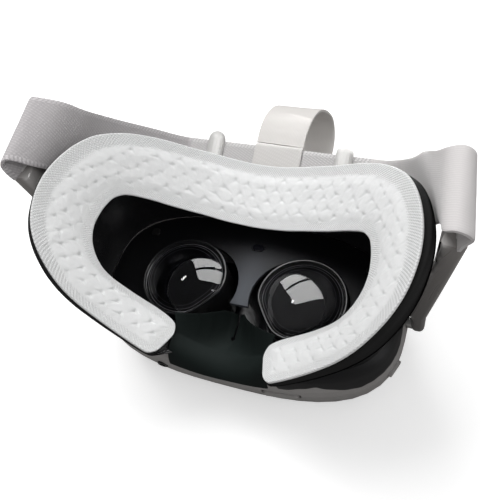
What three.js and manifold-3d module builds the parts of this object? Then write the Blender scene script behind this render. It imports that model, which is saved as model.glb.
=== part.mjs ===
// Stand-alone VR headset, lying on the flat of its visor with the face side up.
// +X is the wearer's right, +Y is up over the forehead, +Z points from the visor to the face.
// Units are millimetres. The part is symmetrical about X = 0 except for the soft strap,
// which is folded over the top of the visor.
import * as THREE from 'three';
import Module from 'manifold-3d';
import { mergeVertices } from 'three/addons/utils/BufferGeometryUtils.js';

const wasm = await Module();
wasm.setup();

// ---------------------------------------------------------------- driving dimensions
const LENS_Z = 54;            // height of the lens plane over the visor front
const SHELL_HW = 88.5;        // half width of the shell
const SHELL_HH = 50.3;        // half height of the shell
const SHELL_CY = 3.2;           // middle of the shell in Y
const SHELL_N = 2.85;         // squareness of the shell outline
const SHELL_WALL = 2.3;
const SEAM_Z = 17;            // seam between front cover and side housing
const RIM_Z = 50;             // rear rim of the side housing
const LENS_X = 34;            // lens centre at the widest spacing (68 mm apart)
const LENS_R = 22.2;
const BARREL_R = 24.3;
const BARREL_HOLE = 25.0;
const LENS_TRAVEL = 5;        // each lens moves in by this much
const COVER_T = 3.0;          // padded face cover
const FOAM_T = 6.8;           // foam under it
const FLANGE_T = 2.0;
const GAP = 0.35;
const PIVOT_Y = 7;            // side arm pivot
const PIVOT_Z = LENS_Z - 9;
const PIVOT_R = 4;
const BUTTON_TILT = 0.367;    // slope of the side wall at the power button, rad
const ROCKER_TILT = 0.1;      // slope of the lower wall at the volume rocker, rad
const ARM_T = 6.6;            // side arm thickness
const STRAP_W = 40;           // side strap webbing width
const STRAP_T = 1.8;
const BAND_TILT = 25 * Math.PI / 180;   // lean of the rear band, top edge towards the face
const BAND_X0 = -64, BAND_X1 = 51;      // straight stretch of the rear band
const SLIDER_XL = -46.3, SLIDER_XR = 35.6;
const NOSE_HW = 27;           // half width of the nose notch
const NOSE_D = 13.5;          // its depth below the rear rim
const TOP_STRAP_W = 30;
const TOP_STRAP_X = -5.2;     // middle of the top strap at the rear band

// ---------------------------------------------------------------- helpers
const solid = (geo) => {
  const g = geo.clone();
  for (const k of Object.keys(g.attributes)) if (k !== 'position') g.deleteAttribute(k);
  const m = mergeVertices(g, 1e-5);
  const p = m.attributes.position.array;
  const idx = m.index.array;
  let man = new wasm.Manifold(new wasm.Mesh({
    numProp: 3, vertProperties: new Float32Array(p), triVerts: new Uint32Array(idx) }));
  return man;
};
const geoOf = (man) => {
  const m = man.getMesh();
  const g = new THREE.BufferGeometry();
  g.setAttribute('position', new THREE.BufferAttribute(new Float32Array(m.vertProperties), 3));
  g.setIndex(new THREE.BufferAttribute(new Uint32Array(m.triVerts), 1));
  return g;
};
// closed body through a stack of rings; `loop` joins the last ring to the first
const loft = (rings, loop = false) => {
  const n = rings[0].length, m = rings.length;
  const pos = [];
  for (const r of rings) for (const p of r) pos.push(p[0], p[1], p[2]);
  let tri = [];
  const at = (i, j) => ((i + m) % m) * n + ((j + n) % n);
  for (let i = 0; i < (loop ? m : m - 1); i++) {
    for (let j = 0; j < n; j++) {
      const a = at(i, j), b = at(i, j + 1), c = at(i + 1, j + 1), d = at(i + 1, j);
      tri.push([a, b, c], [a, c, d]);
    }
  }
  if (!loop) {
    const cap = (i, flip) => {
      const r = rings[i];
      const c = [0, 1, 2].map((k) => r.reduce((s, p) => s + p[k], 0) / n);
      const ci = pos.length / 3;
      pos.push(...c);
      for (let j = 0; j < n; j++) {
        tri.push(flip ? [at(i, j + 1), at(i, j), ci] : [at(i, j), at(i, j + 1), ci]);
      }
    };
    cap(0, true);
    cap(m - 1, false);
  }
  let vol = 0;
  for (const [a, b, c] of tri) {
    const A = pos.slice(3 * a, 3 * a + 3), B = pos.slice(3 * b, 3 * b + 3), C = pos.slice(3 * c, 3 * c + 3);
    vol += A[0] * (B[1] * C[2] - B[2] * C[1]) + A[1] * (B[2] * C[0] - B[0] * C[2]) + A[2] * (B[0] * C[1] - B[1] * C[0]);
  }
  if (vol < 0) tri = tri.map(([a, b, c]) => [a, c, b]);
  const g = new THREE.BufferGeometry();
  g.setAttribute('position', new THREE.BufferAttribute(new Float32Array(pos), 3));
  g.setIndex(tri.flat());
  return g;
};
const superRing = (hw, hh, cy, n, count, z) => {
  const out = [];
  for (let i = 0; i < count; i++) {
    const t = (i / count) * Math.PI * 2, c = Math.cos(t), s = Math.sin(t);
    const k = Math.pow(Math.pow(Math.abs(c), n) + Math.pow(Math.abs(s), n), -1 / n);
    out.push([hw * c * k, cy + hh * s * k, z]);
  }
  return out;
};
const noseDip = (x) => NOSE_D * Math.max(0, 1 - (x / NOSE_HW) ** 2);
const shellRing = (inset, z, count = 56) =>
  superRing(SHELL_HW - inset, SHELL_HH - inset, SHELL_CY, SHELL_N, count, z);
const box = (x0, x1, y0, y1, z0, z1) => {
  const g = new THREE.BoxGeometry(x1 - x0, y1 - y0, z1 - z0);
  g.translate((x0 + x1) / 2, (y0 + y1) / 2, (z0 + z1) / 2);
  return g;
};
const cylX = (x0, x1, y, z, r, seg = 20) => {
  const g = new THREE.CylinderGeometry(r, r, x1 - x0, seg);
  g.rotateZ(Math.PI / 2);
  g.translate((x0 + x1) / 2, y, z);
  return g;
};
const cylY = (y0, y1, x, z, r, seg = 20) => {
  const g = new THREE.CylinderGeometry(r, r, y1 - y0, seg);
  g.translate(x, (y0 + y1) / 2, z);
  return g;
};
const cylZ = (z0, z1, x, y, r, seg = 24) => {
  const g = new THREE.CylinderGeometry(r, r, z1 - z0, seg);
  g.rotateX(Math.PI / 2);
  g.translate(x, y, (z0 + z1) / 2);
  return g;
};
// the two buttons lie on the curved side wall, so each is turned to its slope
const seatButton = (g) => g.rotateZ(-BUTTON_TILT).translate(85.8, -18, 32);
const stadium = (len, wid, seg = 8) => {
  const s = new THREE.Shape(), r = wid / 2, h = len / 2 - r;
  s.absarc(h, 0, r, -Math.PI / 2, Math.PI / 2, false);
  s.absarc(-h, 0, r, Math.PI / 2, Math.PI * 1.5, false);
  s.closePath();
  return s;
};
const extrude = (shape, depth, seg = 8) =>
  new THREE.ExtrudeGeometry(shape, { depth, bevelEnabled: false, curveSegments: seg });
const lathe = (pts, seg = 40) => {
  const g = new THREE.LatheGeometry(pts.map(([r, z]) => new THREE.Vector2(r, z)), seg);
  g.rotateX(Math.PI / 2);      // axis along Z, profile height becomes Z
  return g;
};
const V = (a) => new THREE.Vector3(a[0], a[1], a[2]);

const headset = new THREE.Group();
const mats = {
  shell: [0xc9c6c4, 0.45, 0], black: [0x08090a, 0.25, 0], rubber: [0x10130f, 0.6, 0],
  foam: [0x0c0c0d, 0.9, 0], cloth: [0xf0f1f1, 0.9, 0], webbing: [0xcac6c8, 0.9, 0],
  glass: [0x20242a, 0.05, 0], metal: [0x8d9094, 0.3, 0.9], board: [0x0f3b26, 0.6, 0],
  slider: [0xd4d2d1, 0.4, 0], arm: [0x9b9794, 0.4, 0], cell: [0x30343c, 0.5, 0],
  screen: [0x050507, 0.1, 0], led: [0xe8e8ea, 0.3, 0],
};
const add = (name, geo, mat) => {
  const g = geo.getIndex && geo.getIndex() ? geo : mergeVertices(geo);
  const [color, roughness, metalness] = mats[mat];
  const mesh = new THREE.Mesh(g, new THREE.MeshStandardMaterial({ color, roughness, metalness }));
  mesh.name = name;
  headset.add(mesh);
  return mesh;
};

// ---------------------------------------------------------------- shell
// profile of the front cover: [height, inset from the shell outline]
// tracking cameras: [x, y, z] of the window and the slope of the cover there
const CAMERAS = [[63, 34, 7.2, 0.466, 0.827], [-63, 34, 7.2, -0.466, 0.827], [60, -26, 4.65, 0.305, -0.583], [-60, -26, 4.65, -0.305, -0.583]];
const seat = (g, [x, y, z, a, b]) => g.applyQuaternion(new THREE.Quaternion().setFromUnitVectors(
  new THREE.Vector3(0, 0, -1), new THREE.Vector3(a, b, -1).normalize())).translate(x, y, z);
const frontProfile = [[0, 26], [0.5, 20], [2, 14.5], [4.6, 10.2], [8, 7], [12.5, 4.4], [SEAM_Z - 0.15, 2.6]];
{
  const rings = frontProfile.map(([z, i]) => shellRing(i, z));
  rings.push(shellRing(2.6 + SHELL_WALL, SEAM_Z - 0.15));
  for (const [z, i] of frontProfile.slice(0, -1).reverse()) {
    rings.push(shellRing(i + SHELL_WALL, Math.max(z + SHELL_WALL * 0.75, SHELL_WALL)));
  }
  let body = solid(loft(rings));
  for (const c of CAMERAS) body = body.subtract(solid(seat(cylZ(-6, 6, 0, 0, 6.2), c)));
  add('front_cover', geoOf(body), 'shell');
  let n = 1;
  for (const c of CAMERAS) {
    add('tracking_camera_' + n++, seat(lathe([[0, -0.5], [2.6, -0.3], [4.9, 0.2], [5.8, 0.9], [5.8, 5.4], [0, 5.4]], 24), c), 'glass');
  }
}
{
  const prof = [[SEAM_Z + 0.15, 2.55], [22, 1.3], [28, 0.3], [34, 0], [39, 0.5], [43, 1.6], [46.5, 3.2], [49, 5.0], [RIM_Z, 6.4],
    [RIM_Z, 7.6], [47, 7.4], [43.5, 4.6], [39, 3.0], [34, 2.4], [28, 2.7], [SEAM_Z + 0.15, 2.55 + SHELL_WALL]];
  let body = solid(loft(prof.map(([z, i]) => shellRing(i, z)), true));
  // hinge pin holes, button, rocker, sockets and the slot of the top strap
  body = body.subtract(solid(cylX(80, 95, PIVOT_Y, PIVOT_Z - 6, PIVOT_R + 0.35)));
  body = body.subtract(solid(cylX(-95, -80, PIVOT_Y, PIVOT_Z - 6, PIVOT_R + 0.35)));
  const btn = seatButton(extrude(stadium(10.8, 5.3), 14).rotateX(Math.PI / 2).rotateZ(Math.PI / 2).translate(-6, 0, 0));
  body = body.subtract(solid(btn));
  body = body.subtract(solid(cylX(80, 95, -9.6, 32, 1.2, 12)));
  body = body.subtract(solid(box(22.5, 43.5, -56, -39, 29.2, 34.8)));
  body = body.subtract(solid(extrude(stadium(11.2, 5.2), 14).rotateX(Math.PI / 2).rotateZ(Math.PI / 2).translate(-94, -18, 32)));
  body = body.subtract(solid(cylY(-56, -39, -36, 32, 3.35)));
  body = body.subtract(solid(box(-17.5, 17.5, 46, 60, 21.4, 26.6)));
  // arch for the nose in the lower rear rim
  const arch = [];
  for (let i = 0; i <= 16; i++) { const x = -NOSE_HW + 2 * NOSE_HW * i / 16; arch.push(new THREE.Vector2(x, RIM_Z - noseDip(x))); }
  arch.push(new THREE.Vector2(NOSE_HW, 70), new THREE.Vector2(-NOSE_HW, 70));
  body = body.subtract(solid(extrude(new THREE.Shape(arch), 30).rotateX(Math.PI / 2).translate(0, -30, 0)));
  add('side_housing', geoOf(body), 'shell');
}
// buttons and sockets
add('power_button', seatButton(extrude(stadium(10, 4.5), 5.2).rotateX(Math.PI / 2).rotateZ(Math.PI / 2).translate(-4.3, 0, 0)), 'slider');
add('status_led', cylX(84.6, 87.6, -9.6, 32, 0.85, 12), 'led');
add('volume_rocker', extrude(stadium(19, 4.6), 5.0).rotateX(Math.PI / 2).translate(0, 4.2, 0).rotateZ(ROCKER_TILT).translate(33, -46.0, 32), 'slider');
{
  let usb = solid(extrude(stadium(10.5, 4.5), 7).rotateX(Math.PI / 2).rotateZ(Math.PI / 2).translate(-86.2, -17.8, 32));
  usb = usb.subtract(solid(extrude(stadium(8.9, 2.9), 8).rotateX(Math.PI / 2).rotateZ(Math.PI / 2).translate(-88.2, -18, 32)));
  add('usb_port', geoOf(usb), 'metal');
  let jack = solid(cylY(-46.2, -40, -36, 32, 3.0));
  jack = jack.subtract(solid(cylY(-47, -41.5, -36, 32, 1.8)));
  add('audio_jack', geoOf(jack), 'metal');
}

// ---------------------------------------------------------------- inside
add('display_panel', box(-64, 64, -29, 32, LENS_Z - 39, LENS_Z - 37.2), 'screen');
add('mainboard', box(-51, 51, -24, 27, 11.2, 12.4), 'board');
add('battery_pack', box(-52, -4, -17, 24, 3.6, 10.6), 'cell');
{
  const fan = solid(cylZ(3.4, 10.4, 34, 2, 19, 32)).subtract(solid(cylZ(5.2, 11, 34, 2, 15.5, 32)))
    .add(solid(cylZ(4.4, 9.6, 34, 2, 6, 20)));
  add('cooling_fan', geoOf(fan), 'metal');
}
{
  // heat spreader: a plate with fins between the board and the screen
  let fin = solid(box(10, 58, -20, 24, 12.8, 13.6));
  add('heat_spreader', geoOf(fin), 'metal');
}

// ---------------------------------------------------------------- face plate and lenses
{
  let body = solid(loft([shellRing(8.1, 45.4), shellRing(8.1, 47.6)]));
  for (const s of [-1, 1]) {
    const a = s * LENS_X, b = s * (LENS_X - LENS_TRAVEL);
    body = body.subtract(solid(cylZ(40, 52, a, 0, BARREL_HOLE, 40)))
      .subtract(solid(cylZ(40, 52, b, 0, BARREL_HOLE, 40)))
      .subtract(solid(box(Math.min(a, b), Math.max(a, b), -BARREL_HOLE * Math.cos(Math.PI / 40) + 0.02, BARREL_HOLE * Math.cos(Math.PI / 40) - 0.02, 40, 52)));
  }
  for (const [x, y] of [[65, 27], [-65, 27], [60, -25.5], [-60, -25.5]]) body = body.subtract(solid(cylZ(40, 52, x, y, 1.9, 14)));
  body = body.subtract(solid(extrude(stadium(7.6, 4.6), 10).translate(0, 29, 42)));
  const notch = new THREE.Shape([[-26, -60], [26, -60], [26, -28], [8, -8], [-8, -8], [-26, -28]].map(([a, b]) => new THREE.Vector2(a, b)));
  body = body.subtract(solid(extrude(notch, 12).translate(0, 0, 40)));
  add('face_plate', geoOf(body), 'black');
  let n = 1;
  for (const [x, y] of [[65, 27], [-65, 27], [60, -25.5], [-60, -25.5]]) {
    add('plate_screw_' + n++, lathe([[0, 40], [1.5, 40], [1.5, 48], [2.9, 48], [2.6, 49.2], [0, 49.4]], 14).translate(x, y, 0), 'metal');
  }
  add('proximity_sensor', extrude(stadium(7, 4), 3).translate(0, 29, 45), 'glass');
}
for (const [side, s] of [['left', -1], ['right', 1]]) {
  const x = s * LENS_X;
  const L = LENS_Z;
  // barrel: tube with a seat for the lens, closed profile
  add(side + '_lens_barrel', lathe([[BARREL_R, L - 33], [BARREL_R, L - 0.6], [BARREL_R - 0.5, L], [BARREL_R - 1.3, L],
    [LENS_R + 0.4, L - 1.2], [LENS_R + 0.4, L - 9], [19.6, L - 9], [19.6, L - 11], [22.4, L - 11], [22.4, L - 33], [BARREL_R, L - 33]], 40)
    .translate(x, 0, 0), 'black');
  add(side + '_lens', lathe([[0, L - 8.6], [LENS_R, L - 8.6], [LENS_R, L - 1.6], [20.5, L - 0.1], [17.5, L + 1.6],
    [13.5, L + 3.1], [9, L + 4.2], [4.5, L + 4.8], [0, L + 5]], 40).translate(x, 0, 0), 'glass');
}

// ---------------------------------------------------------------- facial interface, foam and cover
// height of the face contact surface over the lens plane
const surf = (x, y) => 0.554 + 0.010453 * x * x - 1.625e-7 * x ** 4 + 0.179 * y + 0.003936 * y * y;
const surfN = (x, y) => {
  const dx = 0.020906 * x - 6.5e-7 * x ** 3, dy = 0.179 + 0.007872 * y;
  const l = Math.hypot(dx, dy, 1);
  return [-dx / l, -dy / l, 1 / l];
};
const onSurf = (p, depth) => {
  const n = surfN(p[0], p[1]);
  return [p[0] - n[0] * depth, p[1] - n[1] * depth, LENS_Z + surf(p[0], p[1]) - n[2] * depth];
};
// matched points of the outer and inner edge, from the middle of the forehead to the cheek end
const PAD_OUT = [[0, 62.5], [10, 62.3], [19, 61.8], [29.5, 60.5], [40, 58], [50, 55], [58, 51.5], [65.5, 47], [72, 41.5],
  [78, 34.5], [83, 25], [86.5, 14.5], [88.3, 5], [88.7, -3], [88.2, -9.5], [87, -16], [84.7, -22.5], [80.8, -29],
  [75, -35.3], [69, -39.8], [62, -43], [53, -45.5], [45, -47.4], [37, -49.2], [31.5, -50.2], [28.2, -49.6]];
const PAD_IN = [[0, 32.2], [9, 32.1], [18, 31.5], [27, 30.6], [36, 28.8], [44, 26.7], [50.5, 24.8], [56, 22.6], [60, 20.6],
  [63, 18.2], [65.8, 14], [67.6, 8], [68.5, 2], [68.7, -3.5], [67.9, -8.8], [66.3, -13.2], [63.6, -17.4], [60.2, -20.6],
  [56, -22.5], [51.5, -23.5], [46.5, -24.4], [41, -25.2], [35.5, -26.1], [30, -27.6], [25.6, -30], [23.2, -33.5]];
const inset2 = (a, b, d) => {       // point a moved towards b by d
  const l = Math.hypot(b[0] - a[0], b[1] - a[1]);
  return [a[0] + (b[0] - a[0]) * d / l, a[1] + (b[1] - a[1]) * d / l];
};
const mirror = (r) => r.map((p) => [-p[0], p[1], p[2]]);
const foamScale = (k) => k < 18 ? 1 : 1 - 0.5 * Math.min(1, (k - 18) / 6);   // foam thins towards the cheek ends
const padRings = (d0, d1f, inset, crown) => PAD_OUT.map((o, k) => {
  const i = PAD_IN[k], d1 = d1f(k);
  const a = inset2(o, i, inset), b = inset2(i, o, inset);
  const m = [(a[0] + b[0]) / 2, (a[1] + b[1]) / 2];
  const a2 = inset2(a, b, 3), b2 = inset2(b, a, 3);
  return [onSurf(a, d0 + crown), onSurf(a2, d0), onSurf(m, d0), onSurf(b2, d0), onSurf(b, d0 + crown),
    onSurf(b, d1), onSurf(m, d1), onSurf(a, d1)];
});
const cSolid = (rings) => {
  const left = rings.slice(1).reverse().map(mirror);
  return loft([...left, ...rings]);
};
add('face_cover', cSolid(padRings(0, () => COVER_T, 0, 1.2)), 'cloth');
add('foam_pad', cSolid(padRings(COVER_T + GAP, (k) => COVER_T + FOAM_T * foamScale(k), 2.2, 0)), 'foam');

{
  const base = (x, y, inset, z) => {
    // point of the shell outline, inset, in the direction of (x, y) from the shell middle
    const hw = SHELL_HW - inset, hh = SHELL_HH - inset;
    const c = x / hw, s = (y - SHELL_CY) / hh;
    const k = Math.pow(Math.pow(Math.abs(c), SHELL_N) + Math.pow(Math.abs(s), SHELL_N), -1 / SHELL_N);
    return [hw * c * k, SHELL_CY + hh * s * k, z];
  };
  const mix = (a, b, t) => a.map((v, i) => v + (b[i] - v) * t);
  const section = (o, i, k) => {
    const D0 = COVER_T + FOAM_T * foamScale(k) + GAP, D1 = D0 + FLANGE_T;
    const a = inset2(o, i, 1.2), c = inset2(i, o, 1.6), a2 = inset2(o, i, 3.6);
    const A = onSurf(a, D0), C = onSurf(c, D0), C2 = onSurf(c, D1), A2 = onSurf(a2, D1);
    const zb = RIM_Z + GAP;
    const B = base(o[0], o[1], 6.6, zb), B2 = base(o[0], o[1], 9.4, zb);
    const h = Math.max(0, Math.min(1, (A[2] - zb) / 40));
    const M = mix(B, A, 0.5), M2 = mix(B2, A2, 0.5);
    // the wall bows outwards where it is tall
    const bow = 3.0 * h;
    const dir = [o[0] / 90, (o[1] - SHELL_CY) / 52];
    const l = Math.hypot(...dir) || 1;
    for (const q of [M, M2]) { q[0] += dir[0] / l * bow; q[1] += dir[1] / l * bow; }
    const mo = [(a[0] + c[0]) / 2, (a[1] + c[1]) / 2];
    return [A, onSurf(mo, D0), C, C2, onSurf(mo, D1), A2, M2, B2, B, M];
  };
  const right = PAD_OUT.map((o, k) => section(o, PAD_IN[k], k));
  // low bridge under the nose, dipping with the notch
  const nose = [21, 15.5, 10, 5, 0].map((x) => {
    const d = noseDip(x), zb = RIM_Z + GAP - d, z1 = zb + 3.4;
    const B = base(x, -60, 6.6, zb), B2 = base(x, -60, 9.4, zb);
    const yo = B[1] - 0.9, yi = B[1] + 5.6;
    return [[x, yo, z1], [x, (yo + yi) / 2, z1], [x, yi, z1], [x, yi, z1 - 1.7], [x, (yi + B2[1]) / 2, z1 - 1.7],
      [x, B2[1] + 0.1, z1 - 1.7], [x, B2[1] + 0.05, zb + 0.8], B2, B, [x, B[1] - 0.5, zb + 1.6]];
  });
  const half = [...right, ...nose];
  const left = half.slice(1, -1).reverse().map(mirror);
  // around: forehead middle -> right -> nose -> left -> forehead middle
  add('facial_interface', loft([...half, ...left], true), 'black');
}

// nose flap: two thin leaves with a slit between them, a valley that runs in between the lenses
{
  const rows = 8, cols = 17;
  const TOP = [[0, 0, -10.5, -15.5], [0.15, 3.5, -11.5, -10.5], [0.3, 6, -14, -5], [0.45, 9.5, -18, 0], [0.65, 14.5, -21.8, 3.4],
    [0.85, 20.5, -24, 5.2], [1, 25, -25, 6]];
  const lerp = (u) => {
    let i = 0;
    while (i < TOP.length - 2 && u > TOP[i + 1][0]) i++;
    const f = (u - TOP[i][0]) / (TOP[i + 1][0] - TOP[i][0]);
    return TOP[i].slice(1).map((v, k) => v + (TOP[i + 1][k + 1] - v) * f);
  };
  const rings = [];
  for (let j = 0; j < cols; j++) {
    const u = -1 + 2 * j / (cols - 1), a = Math.abs(u), sg = Math.sign(u);
    const T = lerp(a);
    const xb = 21 * a, yb = -34.2 + 1.0 * a, zb = LENS_Z - 1.2 - noseDip(xb) + 0.2 * a;
    const f = [], b = [];
    for (let i = 0; i < rows; i++) {
      const t = i / (rows - 1), q = t * (1 - t) * 4;
      const x = sg * (xb + (T[0] - xb) * t), y = yb + (T[1] - yb) * t, z = zb + (LENS_Z + T[2] - zb) * t - 3.5 * (1 - a * a) * q;
      f.push([x, y + 0.2, z + 0.45]);
      b.push([x, y - 0.2, z - 0.45]);
    }
    rings.push([...f, ...b.reverse()]);
  }
  let flap = solid(loft(rings));
  flap = flap.subtract(solid(box(-0.5, 0.5, -24, -5, 10, 70)));
  flap = flap.subtract(solid(cylZ(10, 70, 0, -24, 1.2, 16)));
  add('nose_flap', geoOf(flap), 'rubber');
}

// ---------------------------------------------------------------- side arms
const ARM_N = [-19, -16, -12, -6, 0, 10, 22, 36, 50, 60, 68];        // stations along Z from the lens plane
const armLean = (n) => 0.12 * Math.max(0, Math.min(1, (n - 30) / 38));   // the clip end leans in at the top
const armX = (n, s) => 93.4 + Math.max(0, n) * ((s > 0 ? 11.3 : 15.6) / 70);               // centre line
const armY0 = (n) => 1.0 + 0.02 * n;                                   // lower edge
const armY1 = (n) => n < 36 ? 14.5 + n * 0.06 : 16.7 + (n - 36) * 0.72; // upper edge, flaring to the clip
for (const [side, s] of [['left', -1], ['right', 1]]) {
  const rings = ARM_N.map((n) => {
    let y0 = armY0(n), y1 = armY1(n);
    const mid = (y0 + y1) / 2;
    const shrink = n <= -12 ? { '-19': 0.45, '-16': 0.8, '-12': 0.96 }[n] : 1;
    y0 = mid + (y0 - mid) * shrink; y1 = mid + (y1 - mid) * shrink;
    const t = ARM_T / 2 * (n <= -16 ? 0.8 : 1), x = armX(n, s), r = 2.4;
    const z = LENS_Z + n;
    return [[x - t, y0 + r, z], [x - t + r, y0, z], [x + t - r, y0, z], [x + t, y0 + r, z],
      [x + t, y1 - r, z], [x + t - r, y1, z], [x - t + r, y1, z], [x - t, y1 - r, z]].map(([a, b, c]) => [s * (a - armLean(n) * (b - y0)), b, c]);
  });
  let arm = solid(loft(rings));
  const xi = s * (armX(-9, s) - ARM_T / 2 - 1);
  arm = arm.subtract(solid(cylX(Math.min(xi, xi + s * 5), Math.max(xi, xi + s * 5), PIVOT_Y, PIVOT_Z - 6, PIVOT_R + 0.35)));
  // pocket for the speaker on the inner face
  const sp = box(...[s * (armX(46, s) - 8), s * (armX(46, s) - 1.6)].sort((a, b) => a - b), 6, 14.2, LENS_Z + 38, LENS_Z + 54);
  arm = arm.subtract(solid(sp));
  // slot that the strap clip plugs into
  const cl = box(-2.1, 1.9, 6.6, 35.4, LENS_Z + 60, LENS_Z + 72);
  {
    const q = cl.attributes.position;
    for (let i = 0; i < q.count; i++) q.setX(i, s * (armX(68, s) + q.getX(i) - 0.12 * (q.getY(i) - 2.4)));
    if (s < 0) { const ix = cl.index.array; for (let i = 0; i < ix.length; i += 3) [ix[i], ix[i + 1]] = [ix[i + 1], ix[i]]; }
  }
  arm = arm.subtract(solid(cl));
  add(side + '_arm', geoOf(arm), 'arm');
  const x0 = s * 85.4, x1 = s * (armX(-9, s) - ARM_T / 2 + 3.6);
  add(side + '_hinge_pin', cylX(Math.min(x0, x1), Math.max(x0, x1), PIVOT_Y, PIVOT_Z - 6, PIVOT_R), 'metal');
  const q0 = s * (armX(46, s) - 4.3), q1 = s * (armX(46, s) - 2.0);
  add(side + '_speaker', box(Math.min(q0, q1), Math.max(q0, q1), 6.4, 13.8, LENS_Z + 38.4, LENS_Z + 53.6), 'foam');
}

// ---------------------------------------------------------------- straps
// webbing ribbon through frames [centre, direction across the width]
const ribbon = (frames, width, thick, steps) => {
  const cc = new THREE.CatmullRomCurve3(frames.map((f) => V(f[0])), false, 'centripetal');
  const ww = new THREE.CatmullRomCurve3(frames.map((f) => V(f[1]).normalize().add(new THREE.Vector3(0, 0, 0))), false, 'catmullrom', 0.5);
  const rings = [];
  for (let i = 0; i <= steps; i++) {
    const t = i / steps;
    const p = cc.getPoint(t), tan = cc.getTangent(t).normalize();
    let w = ww.getPoint(t);
    w.addScaledVector(tan, -w.dot(tan)).normalize();
    const n = new THREE.Vector3().crossVectors(tan, w).normalize();
    const P = (a, b) => { const q = p.clone().addScaledVector(w, a).addScaledVector(n, b); return [q.x, q.y, q.z]; };
    rings.push([P(-width / 2, -thick / 2), P(width / 2, -thick / 2), P(width / 2, thick / 2), P(-width / 2, thick / 2)]);
  }
  return loft(rings);
};
// webbing ribbon between a lower and an upper edge curve
const ribbon2 = (pairs, thick, steps) => {
  const lo = new THREE.CatmullRomCurve3(pairs.map((f) => V(f[0])), false, 'catmullrom', 0.5);
  const hi = new THREE.CatmullRomCurve3(pairs.map((f) => V(f[1])), false, 'catmullrom', 0.5);
  const rings = [];
  for (let i = 0; i <= steps; i++) {
    const t = i / steps, a = lo.getPoint(t), b = hi.getPoint(t);
    const tan = lo.getTangent(t).normalize().add(hi.getTangent(t).normalize()).normalize();
    const w = b.clone().sub(a).normalize();
    const n = new THREE.Vector3().crossVectors(tan, w).normalize().multiplyScalar(thick / 2);
    const arr = (v) => [v.x, v.y, v.z];
    rings.push([arr(a.clone().sub(n)), arr(b.clone().sub(n)), arr(b.clone().add(n)), arr(a.clone().add(n))]);
  }
  return loft(rings);
};
const L = LENS_Z;
const BW = [0, Math.cos(BAND_TILT), Math.sin(BAND_TILT)];             // band width direction
const BT = [0, -Math.sin(BAND_TILT), Math.cos(BAND_TILT)];            // band thickness direction
const BAND_C = [0, 77, L - 4.7];                                     // middle of the band section
const bandPt = (x, w, t) => [x, BAND_C[1] + BW[1] * w + BT[1] * t, BAND_C[2] + BW[2] * w + BT[2] * t];
const bandBox = (x0, x1, w0, w1, t0, t1) => loft([x0, x1].map((x) =>
  [bandPt(x, w0, t0), bandPt(x, w1, t0), bandPt(x, w1, t1), bandPt(x, w0, t1)]));
add('rear_band', bandBox(BAND_X0, BAND_X1, -STRAP_W / 2, STRAP_W / 2, -STRAP_T / 2, STRAP_T / 2), 'webbing');
{
  const h = STRAP_W / 2 + 0.4, t = STRAP_T / 2 + 0.4;
  const x0 = TOP_STRAP_X - TOP_STRAP_W / 2, x1 = TOP_STRAP_X + TOP_STRAP_W / 2;
  const wrap = solid(bandBox(x0, x1, -h - 1.2, h + 1.2, -t - 1.2, t + 1.2)).subtract(solid(bandBox(x0 - 2, x1 + 2, -h, h, -t, t)));
  add('top_strap_wrap', geoOf(wrap), 'webbing');
}
for (const [side, x] of [['left', SLIDER_XL], ['right', SLIDER_XR]]) {
  // slider: a bar over the face side of the band and a thin plate behind it, joined above and below
  const r = 5.2;
  const bar = new THREE.CapsuleGeometry(r, STRAP_W + 1, 5, 16);
  bar.rotateX(0);
  const m = new THREE.Matrix4().makeBasis(new THREE.Vector3(1, 0, 0), V(BW), V(BT));
  bar.applyMatrix4(m);
  const c = bandPt(x, 0, 1.6);
  bar.translate(c[0], c[1], c[2]);
  let body = solid(bar).subtract(solid(bandBox(x - 12, x + 12, -STRAP_W / 2 - 0.5, STRAP_W / 2 + 0.5, -STRAP_T / 2 - 0.45, STRAP_T / 2 + 0.45)));
  body = body.subtract(solid(bandBox(x - 12, x + 12, -40, -23, -20, 20)));
  add(side + '_slider', geoOf(body), 'slider');
}
// the webbing leaves the arm end, folds over and runs back over the top of the visor;
// each frame is [lower edge, upper edge]
const up = (pairs) => pairs.map((f) => f.map(([x, y, z]) => [x, y, z + L]));
const bandPair = (x) => [bandPt(x, -STRAP_W / 2, 0), bandPt(x, STRAP_W / 2, 0)];
const AX = armX(68, -1), AXR = armX(68, 1);
const LEFT_PAIRS = [...up([
  [[-AX, 1, 69.7], [-AX + 4.8, 40.7, 69.7]],
  [[-AX - 0.6, 1, 73], [-AX + 2.6, 41, 73]],
  [[-AX - 1.4, 1.6, 77], [-AX - 4.4, 42, 78]],
  [[-AX + 0.8, 2.6, 80.6], [-AX - 4.4, 43.3, 82.6]],
  [[-104.4, 4.5, 80.2], [-108.6, 45, 81]],
  [[-100.0, 9, 71.5], [-101.4, 50.4, 73.5]],
  [[-98.0, 17, 58], [-98.4, 57, 62]],
  [[-98.2, 28, 39], [-96.9, 65.6, 49.5]],
  [[-94.5, 38, 21], [-91.2, 74.9, 35.5]],
  [[-84.5, 47.2, 6.4], [-82.5, 84.2, 21.4]],
  [[-74.5, 55.2, -7.5], [-73, 91.3, 9.6]],
]), bandPair(BAND_X0 - 3), bandPair(BAND_X0 - GAP)];
add('left_side_strap', ribbon2(LEFT_PAIRS, STRAP_T, 46), 'webbing');
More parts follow.
